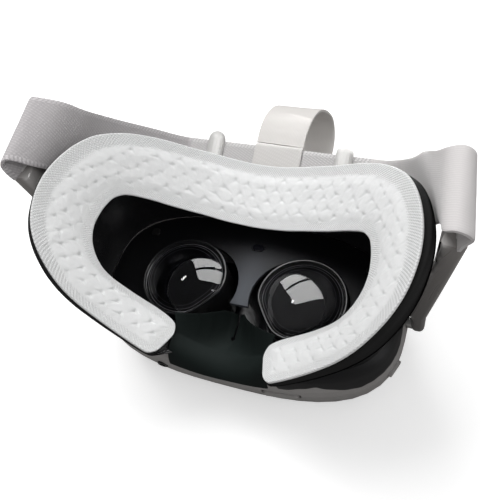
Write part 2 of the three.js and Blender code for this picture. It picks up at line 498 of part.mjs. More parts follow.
const RIGHT_PAIRS = [...up([
  [[AXR, 1, 69.7], [AXR - 4.8, 40.7, 69.7]],
  [[AXR + 1.2, 0.2, 73.5], [AXR - 3.2, 39.9, 73.5]],
  [[107.8, -2.2, 82], [104, 37.6, 82]],
  [[105.4, -4, 87.6], [102.6, 36, 87.6]],
  [[101.4, -4.6, 90.0], [98.8, 35.2, 90.0]],
  [[97.6, -3.4, 87.4], [93.8, 35.8, 87.4]],
  [[97.4, 3.6, 79], [89.6, 41, 79]],
  [[96.4, 15, 65], [84.2, 50.5, 67]],
  [[95.6, 27, 48], [79.6, 60.8, 51]],
  [[92.5, 36.8, 31], [75.2, 71.2, 36.5]],
  [[84, 46.8, 12], [69, 81.6, 22]],
  [[71, 55, -5], [61, 90.6, 9.5]],
]), bandPair(BAND_X1 + 3), bandPair(BAND_X1 + GAP)];
add('right_side_strap', ribbon2(RIGHT_PAIRS, STRAP_T, 46), 'webbing');
for (const [side, s] of [['left', -1], ['right', 1]]) {
  // clip: tongue in the arm slot
  const x = armX(68, s);
  const g = box(-1.3, 1.1, 7, 35, L + 61, L + 68.6);
  const q = g.attributes.position;
  for (let i = 0; i < q.count; i++) q.setX(i, s * (x + q.getX(i) - 0.12 * (q.getY(i) - 2.4)));
  if (s < 0) { const ix = g.index.array; for (let i = 0; i < ix.length; i += 3) [ix[i], ix[i + 1]] = [ix[i + 1], ix[i]]; }
  add(side + '_strap_clip', geoOf(solid(g)), 'slider');
}
{
  const s0 = bandPt(TOP_STRAP_X, STRAP_W / 2 + 2.0, 0);
  const X0 = TOP_STRAP_X;
  const frames = [
    [s0, [1, 0, 0]],
    [[X0 + 0.2, s0[1] + 8, s0[2] + 3.2], [1, 0, 0]],
    [[X0 + 1.2, 114, L + 9.5], [1, 0, 0]],
    [[X0 + 2.8, 126.5, L + 5.5], [1, 0, 0]],
    [[X0 + 5.2, 134.8, L - 3.5], [1, 0, 0]],
    [[X0 + 7.6, 137.6, L - 15], [1, 0, 0]],
    [[X0 + 8.8, 132, L - 26], [1, 0, 0]],
    [[X0 + 8.8, 116, L - 32], [1, 0, 0]],
    [[X0 + 7.4, 93, L - 33.5], [1, 0, 0]],
    [[X0 + 6.2, 73, L - 32.5], [1, 0, 0]],
    [[0, 58, 24], [1, 0, 0]],
    [[0, 48.9, 24], [1, 0, 0]],
  ];
  add('top_strap', ribbon(frames, TOP_STRAP_W, STRAP_T, 40), 'webbing');
}
add('top_strap_anchor', solid_anchor(), 'slider');
function solid_anchor() {
  // bar inside the housing that holds the end of the top strap
  return box(-16.5, 16.5, 44.4, 48.2, 22.2, 25.8);
}

export default headset;
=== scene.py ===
import math
import bpy
import numpy as np
from mathutils import Vector, Matrix, noise


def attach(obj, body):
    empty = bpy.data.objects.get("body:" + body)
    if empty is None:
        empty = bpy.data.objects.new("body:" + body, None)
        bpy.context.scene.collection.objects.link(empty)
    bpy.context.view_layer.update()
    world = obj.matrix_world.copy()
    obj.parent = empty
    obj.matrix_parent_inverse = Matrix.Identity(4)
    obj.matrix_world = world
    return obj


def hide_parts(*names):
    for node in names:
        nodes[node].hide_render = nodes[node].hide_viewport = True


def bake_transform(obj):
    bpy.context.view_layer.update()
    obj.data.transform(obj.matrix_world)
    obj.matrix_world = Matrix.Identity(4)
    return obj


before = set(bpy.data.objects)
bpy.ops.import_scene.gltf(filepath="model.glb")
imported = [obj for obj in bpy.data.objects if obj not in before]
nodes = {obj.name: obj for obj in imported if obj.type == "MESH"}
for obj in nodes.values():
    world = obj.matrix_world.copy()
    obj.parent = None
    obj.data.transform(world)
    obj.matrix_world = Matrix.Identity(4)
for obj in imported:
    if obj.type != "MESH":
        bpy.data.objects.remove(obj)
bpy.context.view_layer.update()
scene = bpy.context.scene
MM = 0.001
RNG = np.random.default_rng(7)

# ------------------------------------------------------------------ camera
R2, U2, BACK = (0.93614, 0.30117, -0.18150), (-0.16775, 0.83615, 0.52222), (0.30903, -0.45842, 0.83327)
cam_data = bpy.data.cameras.new("view")
cam_data.sensor_fit = "HORIZONTAL"
cam_data.sensor_width = 36.0
cam_data.lens = 41.14
cam_data.clip_start = 0.01
cam = bpy.data.objects.new("view", cam_data)
scene.collection.objects.link(cam)
cam.matrix_world = Matrix((
    (R2[0], U2[0], BACK[0], 0.09685), (R2[1], U2[1], BACK[1], -0.12370),
    (R2[2], U2[2], BACK[2], 0.32102), (0, 0, 0, 1)))
scene.camera = cam


# ------------------------------------------------------------------ materials
class Mat:
    """A small helper around a node tree with a Principled shader."""

    def __init__(self, name):
        self.m = bpy.data.materials.new(name)
        self.m.use_nodes = True
        self.t = self.m.node_tree
        self.p = next(n for n in self.t.nodes if n.type == "BSDF_PRINCIPLED")
        self.co = self.n("ShaderNodeTexCoord")
        self.h = None

    def n(self, kind, **kw):
        node = self.t.nodes.new(kind)
        for k, v in kw.items():
            setattr(node, k, v)
        return node

    def link(self, a, b):
        self.t.links.new(a, b)

    def set(self, **kw):
        names = {"base": "Base Color", "rough": "Roughness", "metal": "Metallic", "ior": "IOR", "coat": "Coat Weight",
                 "coat_rough": "Coat Roughness", "sheen": "Sheen Weight", "sheen_rough": "Sheen Roughness", "spec": "Specular IOR Level",
                 "trans": "Transmission Weight", "sss": "Subsurface Weight"}
        for k, v in kw.items():
            s = self.p.inputs[names[k]]
            s.default_value = (*v, 1) if isinstance(v, (tuple, list)) and len(v) == 3 else v
        return self

    def noise(self, scale, detail=3.0, rough=0.5, out="Object", vec=None, dist=0.0):
        t = self.n("ShaderNodeTexNoise")
        t.inputs["Scale"].default_value = scale
        t.inputs["Detail"].default_value = detail
        t.inputs["Roughness"].default_value = rough
        t.inputs["Distortion"].default_value = dist
        self.link(vec if vec is not None else self.co.outputs[out], t.inputs["Vector"])
        return t.outputs["Fac"]

    def math(self, op, a, b=None, c=None, clamp=False):
        t = self.n("ShaderNodeMath", operation=op, use_clamp=clamp)
        for i, v in enumerate((a, b, c)):
            if v is None:
                continue
            if isinstance(v, (int, float)):
                t.inputs[i].default_value = v
            else:
                self.link(v, t.inputs[i])
        return t.outputs[0]

    def uv(self):
        s = self.n("ShaderNodeSeparateXYZ")
        self.link(self.co.outputs["UV"], s.inputs[0])
        return s.outputs[0], s.outputs[1]

    def ramp(self, fac, stops):
        r = self.n("ShaderNodeValToRGB")
        e = r.color_ramp.elements
        while len(e) < len(stops):
            e.new(0.5)
        for el, (pos, col) in zip(e, stops):
            el.position = pos
            el.color = (*col, 1) if len(col) == 3 else col
        self.link(fac, r.inputs[0])
        return r.outputs[0]

    def mix(self, fac, a, b):
        m = self.n("ShaderNodeMix", data_type="RGBA")
        for s, v in ((m.inputs[0], fac), (m.inputs[6], a), (m.inputs[7], b)):
            if isinstance(v, (int, float)):
                s.default_value = v
            elif isinstance(v, (tuple, list)):
                s.default_value = (*v, 1) if len(v) == 3 else v
            else:
                self.link(v, s)
        return m.outputs[2]

    def color(self, out):
        self.link(out, self.p.inputs["Base Color"])

    def rough_from(self, fac, lo, hi):
        m = self.n("ShaderNodeMapRange")
        m.inputs[3].default_value, m.inputs[4].default_value = lo, hi
        self.link(fac, m.inputs[0])
        self.link(m.outputs[0], self.p.inputs["Roughness"])

    def bump(self, height, dist, strength=1.0, edge=None):
        b = self.n("ShaderNodeBump")
        b.inputs["Strength"].default_value = strength
        b.inputs["Distance"].default_value = dist
        self.link(height, b.inputs["Height"])
        if self.h is not None:
            self.link(self.h, b.inputs["Normal"])
        elif edge:
            e = self.n("ShaderNodeBevel", samples=6)
            e.inputs["Radius"].default_value = edge
            self.link(e.outputs[0], b.inputs["Normal"])
        self.h = b.outputs[0]
        self.link(self.h, self.p.inputs["Normal"])
        return self


def plastic(name, base, rough, grain=3200.0, depth=0.00002, var=0.06, coat=0.0, edge=0.0005, wear=0.0, spec=0.5):
    """Moulded plastic: soft colour variation, uneven gloss, spark-eroded grain and rounded, slightly rubbed edges."""
    m = Mat(name).set(spec=spec, coat=coat, coat_rough=0.12)
    cloud = m.noise(28.0, 4.0)
    lo = tuple(c * (1 - var) for c in base)
    hi = tuple(min(1, c * (1 + var)) for c in base)
    col = m.mix(cloud, lo, hi)
    if wear:
        g = m.n("ShaderNodeNewGeometry")
        edge_f = m.ramp(g.outputs["Pointiness"], [(0.52, (0, 0, 0)), (0.62, (1, 1, 1))])
        scuff = m.math("MULTIPLY", edge_f, m.noise(420.0, 3.0))
        col = m.mix(m.math("MULTIPLY", scuff, wear), col, tuple(min(1, c * 1.35 + 0.03) for c in base))
    m.color(col)
    m.rough_from(m.noise(90.0, 4.0), rough * 0.85, min(1, rough * 1.2))
    m.bump(m.noise(grain, 3.0, 0.6), depth, 0.7, edge=edge)
    return m


def cloth_white():
    """Nonwoven cover: matted fibres, faint mottling, a knit emboss on the heat-sealed rim (the 'rim' attribute marks
    the rim).
    """
    m = Mat("nonwoven_white").set(base=(0.83, 0.83, 0.82), rough=0.85, sheen=0.25, sheen_rough=0.5, spec=0.25, sss=0.0)
    u, v = m.uv()
    rim_attr = m.n("ShaderNodeAttribute", attribute_name="rim")
    rim = rim_attr.outputs["Fac"]
    fibres = m.noise(2600.0, 6.0, 0.7, dist=1.2)
    mott = m.noise(240.0, 5.0, 0.6)
    painted_crease_shade = m.n("ShaderNodeAttribute", attribute_name="painted_crease_shade").outputs["Fac"]
    base = m.mix(mott, (0.79, 0.795, 0.795), (0.86, 0.865, 0.865))
    base = m.mix(m.math("MULTIPLY", fibres, 0.22), base, (0.72, 0.725, 0.725))
    # painted shade: the colour darkens in the quilting's sunk creases and tufts
    base = m.mix(m.math("MULTIPLY", painted_crease_shade, 0.32), base, (0.60, 0.61, 0.61))
    # knit emboss on the rim: short V stitches
    a = m.math("SINE", m.math("MULTIPLY", u, 2 * math.pi / 0.00125))
    b = m.math("SINE", m.math("MULTIPLY", m.math("ADD", v, m.math("MULTIPLY", m.math("ABSOLUTE", a), 0.00035)), 2 * math.pi / 0.00115))
    knit = m.math("MULTIPLY", m.math("ADD", m.math("MULTIPLY", a, b), 1.0), 0.5)
    rimk = m.math("MULTIPLY", rim, knit)
    base = m.mix(m.math("MULTIPLY", rimk, 0.24), base, (0.58, 0.59, 0.59))
    m.color(base)
    m.bump(rimk, 0.00034, 0.9)
    m.bump(m.noise(620.0, 4.0, 0.6), 0.00016, 0.55)
    m.bump(fibres, 0.00007, 0.8)
    return m


def webbing(name, base, weave, pitch=0.0011, depth=0.00018, dark=0.62, selvage=False, edge_w=0.020):
    """Woven elastic. uv is metres along and across the strap; weave is 'twill', 'across' or 'along'."""
    m = Mat(name).set(rough=0.82, sheen=0.3, sheen_rough=0.45, spec=0.25)
    u, v = m.uv()
    k = 2 * math.pi / pitch
    if weave == "twill":
        ph = m.math("ADD", m.math("MULTIPLY", u, k * 0.45), m.math("MULTIPLY", v, k * 0.9))
    elif weave == "across":      # ribs that run across the strap
        ph = m.math("MULTIPLY", u, k)
    else:                        # ribs that run along it
        ph = m.math("MULTIPLY", v, k)
    wob = m.math("MULTIPLY", m.noise(300.0, 2.0), 0.9)
    rib = m.math("MULTIPLY", m.math("ADD", m.math("SINE", m.math("ADD", ph, wob)), 1.0), 0.5)
    if weave == "twill":         # the diagonal is broken into short floats
        dash = m.math("SINE", m.math("SUBTRACT", m.math("MULTIPLY", u, k * 0.62), m.math("MULTIPLY", v, k * 0.20)))
        rib = m.math("MULTIPLY", rib, m.math("ADD", m.math("MULTIPLY", dash, 0.32), 0.68))
    # single threads crossing the ribs
    tu = m.math("SINE", m.math("MULTIPLY", u, 2 * math.pi / (pitch * 0.72)))
    tv = m.math("SINE", m.math("MULTIPLY", v, 2 * math.pi / (pitch * 0.72)))
    thread = m.math("MULTIPLY", m.math("ADD", m.math("MULTIPLY", tu, tv), 1.0), 0.5)
    h = m.math("ADD", m.math("MULTIPLY", rib, 0.72), m.math("MULTIPLY", thread, 0.28))
    fine = m.noise(3000.0, 4.0, 0.65)
    h = m.math("ADD", h, m.math("MULTIPLY", fine, 0.25))
    patch = m.noise(70.0, 4.0)
    # painted shade: the colour darkens where the weave's height is low, in its hollows
    lo = tuple(c * dark for c in base)
    col = m.mix(m.math("MULTIPLY", h, 0.85, clamp=True), lo, base)
    col = m.mix(m.math("MULTIPLY", patch, 0.25), col, tuple(c * 0.86 for c in base))
    if selvage:
        d = m.math("SUBTRACT", edge_w, m.math("ABSOLUTE", v))          # distance in from the edge
        on = m.math("LESS_THAN", d, 0.0026)
        st = m.math("SINE", m.math("ADD", m.math("MULTIPLY", u, 2 * math.pi / 0.0021), m.math("MULTIPLY", d, 1500.0)))
        st = m.math("GREATER_THAN", st, -0.25)
        s = m.math("MULTIPLY", on, st)
        col = m.mix(m.math("MULTIPLY", s, 0.55), col, tuple(min(1, c * 1.22) for c in base))
        h = m.math("ADD", h, m.math("MULTIPLY", s, 0.9))
    m.color(col)
    m.bump(h, depth, 0.85)
    return m


# painted shade: both shell parts get bases darker than their off-white plastic, the side housing darkest for its
# shadowed underside
SHELL = plastic("shell_grey_painted_shade", (0.30, 0.288, 0.282), 0.34, coat=0.05, edge=0.0006, wear=0.25)
COVERSHELL = plastic("front_shell", (0.42, 0.408, 0.402), 0.36, coat=0.05, edge=0.0006, wear=0.2)
ARM = plastic("arm_grey", (0.255, 0.243, 0.236), 0.27, grain=2600, depth=0.000025, edge=0.0007, wear=0.35)
SLIDER = plastic("slider_grey", (0.62, 0.615, 0.60), 0.42, edge=0.0005, wear=0.2)
BLACK = plastic("black_gloss", (0.009, 0.009, 0.010), 0.24, grain=1400, depth=0.00001, var=0.2, coat=0.10, edge=0.0005, spec=0.35)
SKIRT = plastic("skirt_black", (0.009, 0.009, 0.010), 0.42, grain=1500, depth=0.00002, var=0.2, edge=0.0003)
PLATE = plastic("plate_black", (0.006, 0.006, 0.007), 0.34, grain=1800, depth=0.00001, var=0.2, edge=0.0005)
def plate_mat():
    """Face plate: near black, with a grey patch painted between the eyepieces as a painted reflection."""
    m = plastic("plate_painted_reflection", (0.006, 0.006, 0.007), 0.42, grain=1800, depth=0.00001, var=0.2, edge=0.0005, spec=0.12)
    sx = m.n("ShaderNodeSeparateXYZ")
    m.link(m.co.outputs["Object"], sx.inputs[0])
    gx = m.math("POWER", 2.718, m.math("MULTIPLY", m.math("POWER", m.math("DIVIDE", sx.outputs[0], 0.0105), 2.0), -1.0))
    gy = m.math("POWER", 2.718, m.math("MULTIPLY", m.math("POWER", m.math("DIVIDE", m.math("ADD", sx.outputs[1], 0.003), 0.021), 2.0), -1.0))
    # mask of the painted reflection between the eyepieces
    f = m.math("MULTIPLY", gx, gy)
    m.color(m.mix(f, (0.006, 0.006, 0.007), (0.060, 0.065, 0.074)))
    return m


def arm_mat():
    """Arm: glossy moulded grey; its colour carries painted shade that darkens towards the pivot, dark streaks painted
    along it as painted reflections, and a painted highlight that makes the inward lip paler.
    """
    m = Mat("arm_gloss").set(spec=0.5, coat=0.35, coat_rough=0.10)
    u, v = m.uv()
    uvs = m.n("ShaderNodeCombineXYZ")
    m.link(m.math("MULTIPLY", u, 14.0), uvs.inputs[0])
    m.link(m.math("MULTIPLY", v, 620.0), uvs.inputs[1])
    gloss_and_painted_streak = m.noise(1.0, 3.0, 0.6, vec=uvs.outputs[0])
    # painted shade: the colour darkens from the clip end towards the pivot
    along = m.math("DIVIDE", u, 0.087, clamp=True)
    body = m.mix(along, (0.10, 0.095, 0.092), (0.27, 0.252, 0.242))
    # painted reflection: dark streaks along the arm stand in for streaked reflections; the same noise varies the
    # roughness
    body = m.mix(m.math("MULTIPLY", gloss_and_painted_streak, 0.22), body, (0.085, 0.080, 0.077))
    lit_lip = m.n("ShaderNodeAttribute", attribute_name="painted_lit_lip").outputs["Fac"]
    # painted highlight: the inward lip is painted paler, as if lit
    m.color(m.mix(lit_lip, body, (0.50, 0.485, 0.475)))
    m.rough_from(gloss_and_painted_streak, 0.20, 0.40)
    m.bump(m.noise(2600.0, 3.0, 0.6), 0.000012, 0.5)
    return m


PLATE2, ARM2 = plate_mat(), arm_mat()
RUBBER = plastic("flap_rubber", (0.0100, 0.0138, 0.0130), 0.60, grain=2100, depth=0.00003, var=0.2, edge=0.0004, spec=0.07)
FOAM = plastic("foam_black", (0.020, 0.020, 0.020), 0.95, grain=900, depth=0.00035, var=0.3, edge=0.0005, spec=0.1)
METAL = plastic("machined_metal", (0.55, 0.55, 0.54), 0.3, grain=5000, depth=0.000008, edge=0.0003).set(metal=1.0)
DARKMETAL = plastic("screw_black", (0.05, 0.05, 0.05), 0.35, grain=5000, depth=0.000008, edge=0.0003).set(metal=0.8)
LED = plastic("light_pipe", (0.7, 0.74, 0.76), 0.15, grain=5000, depth=0.000004)
BOARD = plastic("board_green", (0.03, 0.10, 0.06), 0.4)
SCREEN = plastic("screen_dark", (0.008, 0.008, 0.010), 0.12)
CAMGLASS = plastic("camera_window", (0.006, 0.006, 0.009), 0.05, grain=900, depth=0.0, coat=1.0, edge=0.0004)
CLOTH = cloth_white()
WEB_L = webbing("webbing_twill", (0.60, 0.575, 0.585), "twill", pitch=0.00135, depth=0.00016, dark=0.64, selvage=True)
WEB_R = webbing("webbing_ribbed", (0.70, 0.675, 0.672), "along", pitch=0.00105, depth=0.00005, dark=0.90, selvage=False)
WEB_B = webbing("webbing_band", (0.66, 0.645, 0.645), "twill", pitch=0.00135, depth=0.00016, dark=0.70, selvage=True)
WEB_W = webbing("webbing_wrap", (0.745, 0.725, 0.705), "twill", pitch=0.0014, depth=0.00010, dark=0.84)
WEB_T = webbing("webbing_top", (0.76, 0.735, 0.71), "along", pitch=0.0009, depth=0.00006, dark=0.90)


def lens_glass():
    m = Mat("lens_glass").set(base=(1, 1, 1), rough=0.0, ior=1.49, trans=1.0, coat=0.0)
    smear = m.noise(60.0, 3.0)
    m.rough_from(smear, 0.0, 0.012)
    return m


def lens_rings():
    """Back of the lens: near-black, with the fine concentric steps of a Fresnel lens."""
    m = Mat("lens_rings").set(base=(0.004, 0.004, 0.005), rough=0.16, spec=0.28)
    u, v = m.uv()               # uv.x is the radius in metres
    saw = m.math("FRACT", m.math("MULTIPLY", u, 1 / 0.00085))
    m.bump(saw, 0.00012, 0.5)
    wob = m.noise(40.0, 2.0)
    m.color(m.mix(wob, (0.003, 0.003, 0.004), (0.012, 0.012, 0.014)))
    return m


def lens_back():
    """Rear face of the lens, seen through the glass: black, with a trace of the concentric steps in its bumps and
    bright rings painted into its colour as painted highlights.
    """
    m = Mat("lens_back").set(base=(0.003, 0.003, 0.004), rough=0.12, spec=0.018)
    u, v = m.uv()
    r = m.math("DIVIDE", u, 0.0222)
    # painted highlight: bright rings near the lens rim stand in for light caught on the ring edges
    painted_ring_highlights = m.ramp(r, [(0.0, (0.002, 0.002, 0.003)), (0.70, (0.003, 0.003, 0.004)), (0.765, (0.007, 0.007, 0.009)), (0.775, (0.09, 0.09, 0.10)),
                       (0.79, (0.004, 0.004, 0.005)), (0.865, (0.010, 0.010, 0.012)), (0.872, (0.26, 0.26, 0.28)), (0.885, (0.006, 0.006, 0.007)),
                       (0.93, (0.02, 0.02, 0.022)), (0.94, (0.42, 0.42, 0.44)), (0.955, (0.006, 0.006, 0.007)), (1.0, (0.03, 0.03, 0.032))])
    m.color(m.mix(m.math("MULTIPLY", m.noise(70.0, 2.0), 0.8), (0.002, 0.002, 0.003), painted_ring_highlights))
    m.bump(m.math("FRACT", m.math("MULTIPLY", u, 1 / 0.0011)), 0.00010, 0.35)
    return m


GLASS, RINGS, LBACK = lens_glass(), lens_rings(), lens_back()


# ------------------------------------------------------------------ mesh helpers
def make(name, verts, faces, mat, uvs=None, smooth=True, angle=None, attrs=None):
    me = bpy.data.meshes.new(name)
    me.from_pydata([tuple(map(float, v)) for v in verts], [], [tuple(map(int, f)) for f in faces])
    me.update()
    if uvs is not None:
        lay = me.uv_layers.new(name="UVMap")
        idx = np.zeros(len(me.loops), np.int32)
        me.loops.foreach_get("vertex_index", idx)
        lay.data.foreach_set("uv", np.asarray(uvs, np.float32)[idx].ravel())
    for k, val in (attrs or {}).items():
        a = me.attributes.new(k, "FLOAT", "POINT")
        a.data.foreach_set("value", np.asarray(val, np.float32))
    me.polygons.foreach_set("use_smooth", [smooth] * len(me.polygons))
    if angle is not None:
        me.set_sharp_from_angle(angle=math.radians(angle))
    me.materials.append(mat.m)
    o = bpy.data.objects.new(name, me)
    scene.collection.objects.link(o)
    return o


def grid_faces(nr, nc, wrap_r=False, wrap_c=False, flip=False):
    f = []
    for i in range(nr if wrap_r else nr - 1):
        for j in range(nc if wrap_c else nc - 1):
            a, b = i * nc + j, i * nc + (j + 1) % nc
            c, d = ((i + 1) % nr) * nc + (j + 1) % nc, ((i + 1) % nr) * nc + j
            f.append((a, d, c, b) if flip else (a, b, c, d))
    return f


def hermite(P, t, closed=False, tension=0.5):
    """Uniform Catmull-Rom through the rows of P at parameters t in 0..len-1 (any trailing shape)."""
    P = np.asarray(P, float)
    n = len(P)
    t = np.asarray(t, float)
    i = np.clip(np.floor(t).astype(int), 0, (n - 1 if closed else n - 2))
    f = t - i
    if closed:
        g = lambda k: P[k % n]
    else:
        ext = np.concatenate([[2 * P[0] - P[1]], P, [2 * P[-1] - P[-2]]])
        g = lambda k: ext[np.clip(k + 1, 0, n + 1)]
    p0, p1, p2, p3 = g(i - 1), g(i), g(i + 1), g(i + 2)
    f = f.reshape(f.shape + (1,) * (P.ndim - 1))
    m1, m2 = tension * (p2 - p0), tension * (p3 - p1)
    return ((2 * f**3 - 3 * f**2 + 1) * p1 + (f**3 - 2 * f**2 + f) * m1 + (-2 * f**3 + 3 * f**2) * p2 + (f**3 - f**2) * m2)


def centripetal(P, t):
    P = np.asarray(P, float)
    n = len(P)
    out = []
    for x in np.asarray(t, float):
        i = min(int(x), n - 2)
        f = x - i
        p1, p2 = P[i], P[i + 1]
        p0 = P[i - 1] if i > 0 else 2 * P[0] - P[1]
        p3 = P[i + 2] if i + 2 < n else 2 * P[-1] - P[-2]
        d0, d1, d2 = (max(np.sum((b - a) ** 2) ** 0.25, 1e-4) for a, b in ((p0, p1), (p1, p2), (p2, p3)))
        t1 = ((p1 - p0) / d0 - (p2 - p0) / (d0 + d1) + (p2 - p1) / d1) * d1
        t2 = ((p2 - p1) / d1 - (p3 - p1) / (d1 + d2) + (p3 - p2) / d2) * d1
        out.append((2 * f**3 - 3 * f**2 + 1) * p1 + (f**3 - 2 * f**2 + f) * t1 + (-2 * f**3 + 3 * f**2) * p2 + (f**3 - f**2) * t2)
    return np.array(out)


def unit(a):
    return a / np.maximum(np.linalg.norm(a, axis=-1, keepdims=True), 1e-12)


def strap(name, lo, hi, thick, mat, across=28, bow=0.0, edge_round=0.5, wave=0.12, closed=False):
    """Webbing between two edge curves (n x 3, in mm): both faces, rounded selvages, uv in metres along and across."""
    lo, hi = np.asarray(lo, float), np.asarray(hi, float)
    n = len(lo)
    mid = (lo + hi) / 2
    W = np.linalg.norm(hi - lo, axis=1).mean()
    seg = np.linalg.norm(np.diff(mid, axis=0), axis=1)
    s = np.concatenate([[0], np.cumsum(seg)])
    tan = unit(np.gradient(lo, axis=0) + np.gradient(hi, axis=0))
    w = unit(hi - lo)
    nor = unit(np.cross(tan, w))
    # closed cross-section: across one face, round the selvage, back along the other
    a = np.linspace(-1, 1, across)
    a = np.sign(a) * (1 - (1 - np.abs(a)) ** 1.25)
    half = np.concatenate([a, a[::-1]])
    side = np.concatenate([np.ones(across), -np.ones(across)])
    ed = np.clip((1 - np.abs(half)) * W / 2 / (thick * 0.6), 0, 1)
    th = thick / 2 * np.sqrt(1 - (1 - ed) ** 2 * edge_round) * side
    V, U = [], []
    for i in range(n):
        for j in range(2 * across):
            jit = wave * noise.noise(Vector((s[i] * 0.09, half[j] * 1.3, 3.1))) + 0.5 * wave * noise.noise(Vector((s[i] * 0.3, half[j] * 4, 9.1)))
            p = mid[i] + w[i] * half[j] * np.linalg.norm(hi[i] - lo[i]) / 2 + nor[i] * (th[j] + jit + bow * (1 - half[j] ** 2))
            V.append(p * MM)
            U.append((s[i] * MM, half[j] * W / 2 * MM))
    F = grid_faces(n, 2 * across, wrap_c=True)
    F.append(tuple(range(2 * across))[::-1])
    F.append(tuple((n - 1) * 2 * across + j for j in range(2 * across)))
    o = make(name, V, F, mat, U, angle=60)
    fix_normals(o)
    return o


def fix_normals(o):
    import bmesh
    b = bmesh.new()
    b.from_mesh(o.data)
    bmesh.ops.recalc_face_normals(b, faces=b.faces)
    b.to_mesh(o.data)
    b.free()


# ------------------------------------------------------------------ dimensions shared with the CAD (mm)
LZ, SHW, SHH, SCY, SN = 54.0, 88.5, 50.3, 3.2, 2.85
COVER_T, FOAM_T, FLANGE_T, GAP, RIM_Z = 3.0, 6.8, 2.0, 0.35, 50.0
NOSE_HW, NOSE_D = 27.0, 13.5
PAD_OUT = [[0, 62.5], [10, 62.3], [19, 61.8], [29.5, 60.5], [40, 58], [50, 55], [58, 51.5], [65.5, 47], [72, 41.5],
           [78, 34.5], [83, 25], [86.5, 14.5], [88.3, 5], [88.7, -3], [88.2, -9.5], [87, -16], [84.7, -22.5], [80.8, -29],
           [75, -35.3], [69, -39.8], [62, -43], [53, -45.5], [45, -47.4], [37, -49.2], [31.5, -50.2], [28.2, -49.6]]
PAD_IN = [[0, 32.2], [9, 32.1], [18, 31.5], [27, 30.6], [36, 28.8], [44, 26.7], [50.5, 24.8], [56, 22.6], [60, 20.6],
          [63, 18.2], [65.8, 14], [67.6, 8], [68.5, 2], [68.7, -3.5], [67.9, -8.8], [66.3, -13.2], [63.6, -17.4], [60.2, -20.6],
          [56, -22.5], [51.5, -23.5], [46.5, -24.4], [41, -25.2], [35.5, -26.1], [30, -27.6], [25.6, -30], [23.2, -33.5]]


def full(a):
    """Both halves of an edge: left cheek end, forehead, right cheek end."""
    a = np.array(a, float)
    left = a[1:][::-1] * [-1, 1]
    return np.concatenate([left, a])


OUT, INN = full(PAD_OUT), full(PAD_IN)


def surf(x, y):
    return 0.554 + 0.010453 * x * x - 1.625e-7 * x**4 + 0.179 * y + 0.003936 * y * y


def surf_n(x, y):
    dx, dy = 0.020906 * x - 6.5e-7 * x**3, 0.179 + 0.007872 * y
    return unit(np.stack([-dx, -dy, np.ones_like(dx)], -1))


def on_surf(p, depth):
    p = np.asarray(p, float)
    n = surf_n(p[..., 0], p[..., 1])
    z = LZ + surf(p[..., 0], p[..., 1])
    base = np.stack([p[..., 0], p[..., 1], z], -1)
    return base - n * np.asarray(depth)[..., None]


def foam_scale(k):
    return 1 - 0.5 * np.clip((np.abs(k) - 18) / 6, 0, 1)


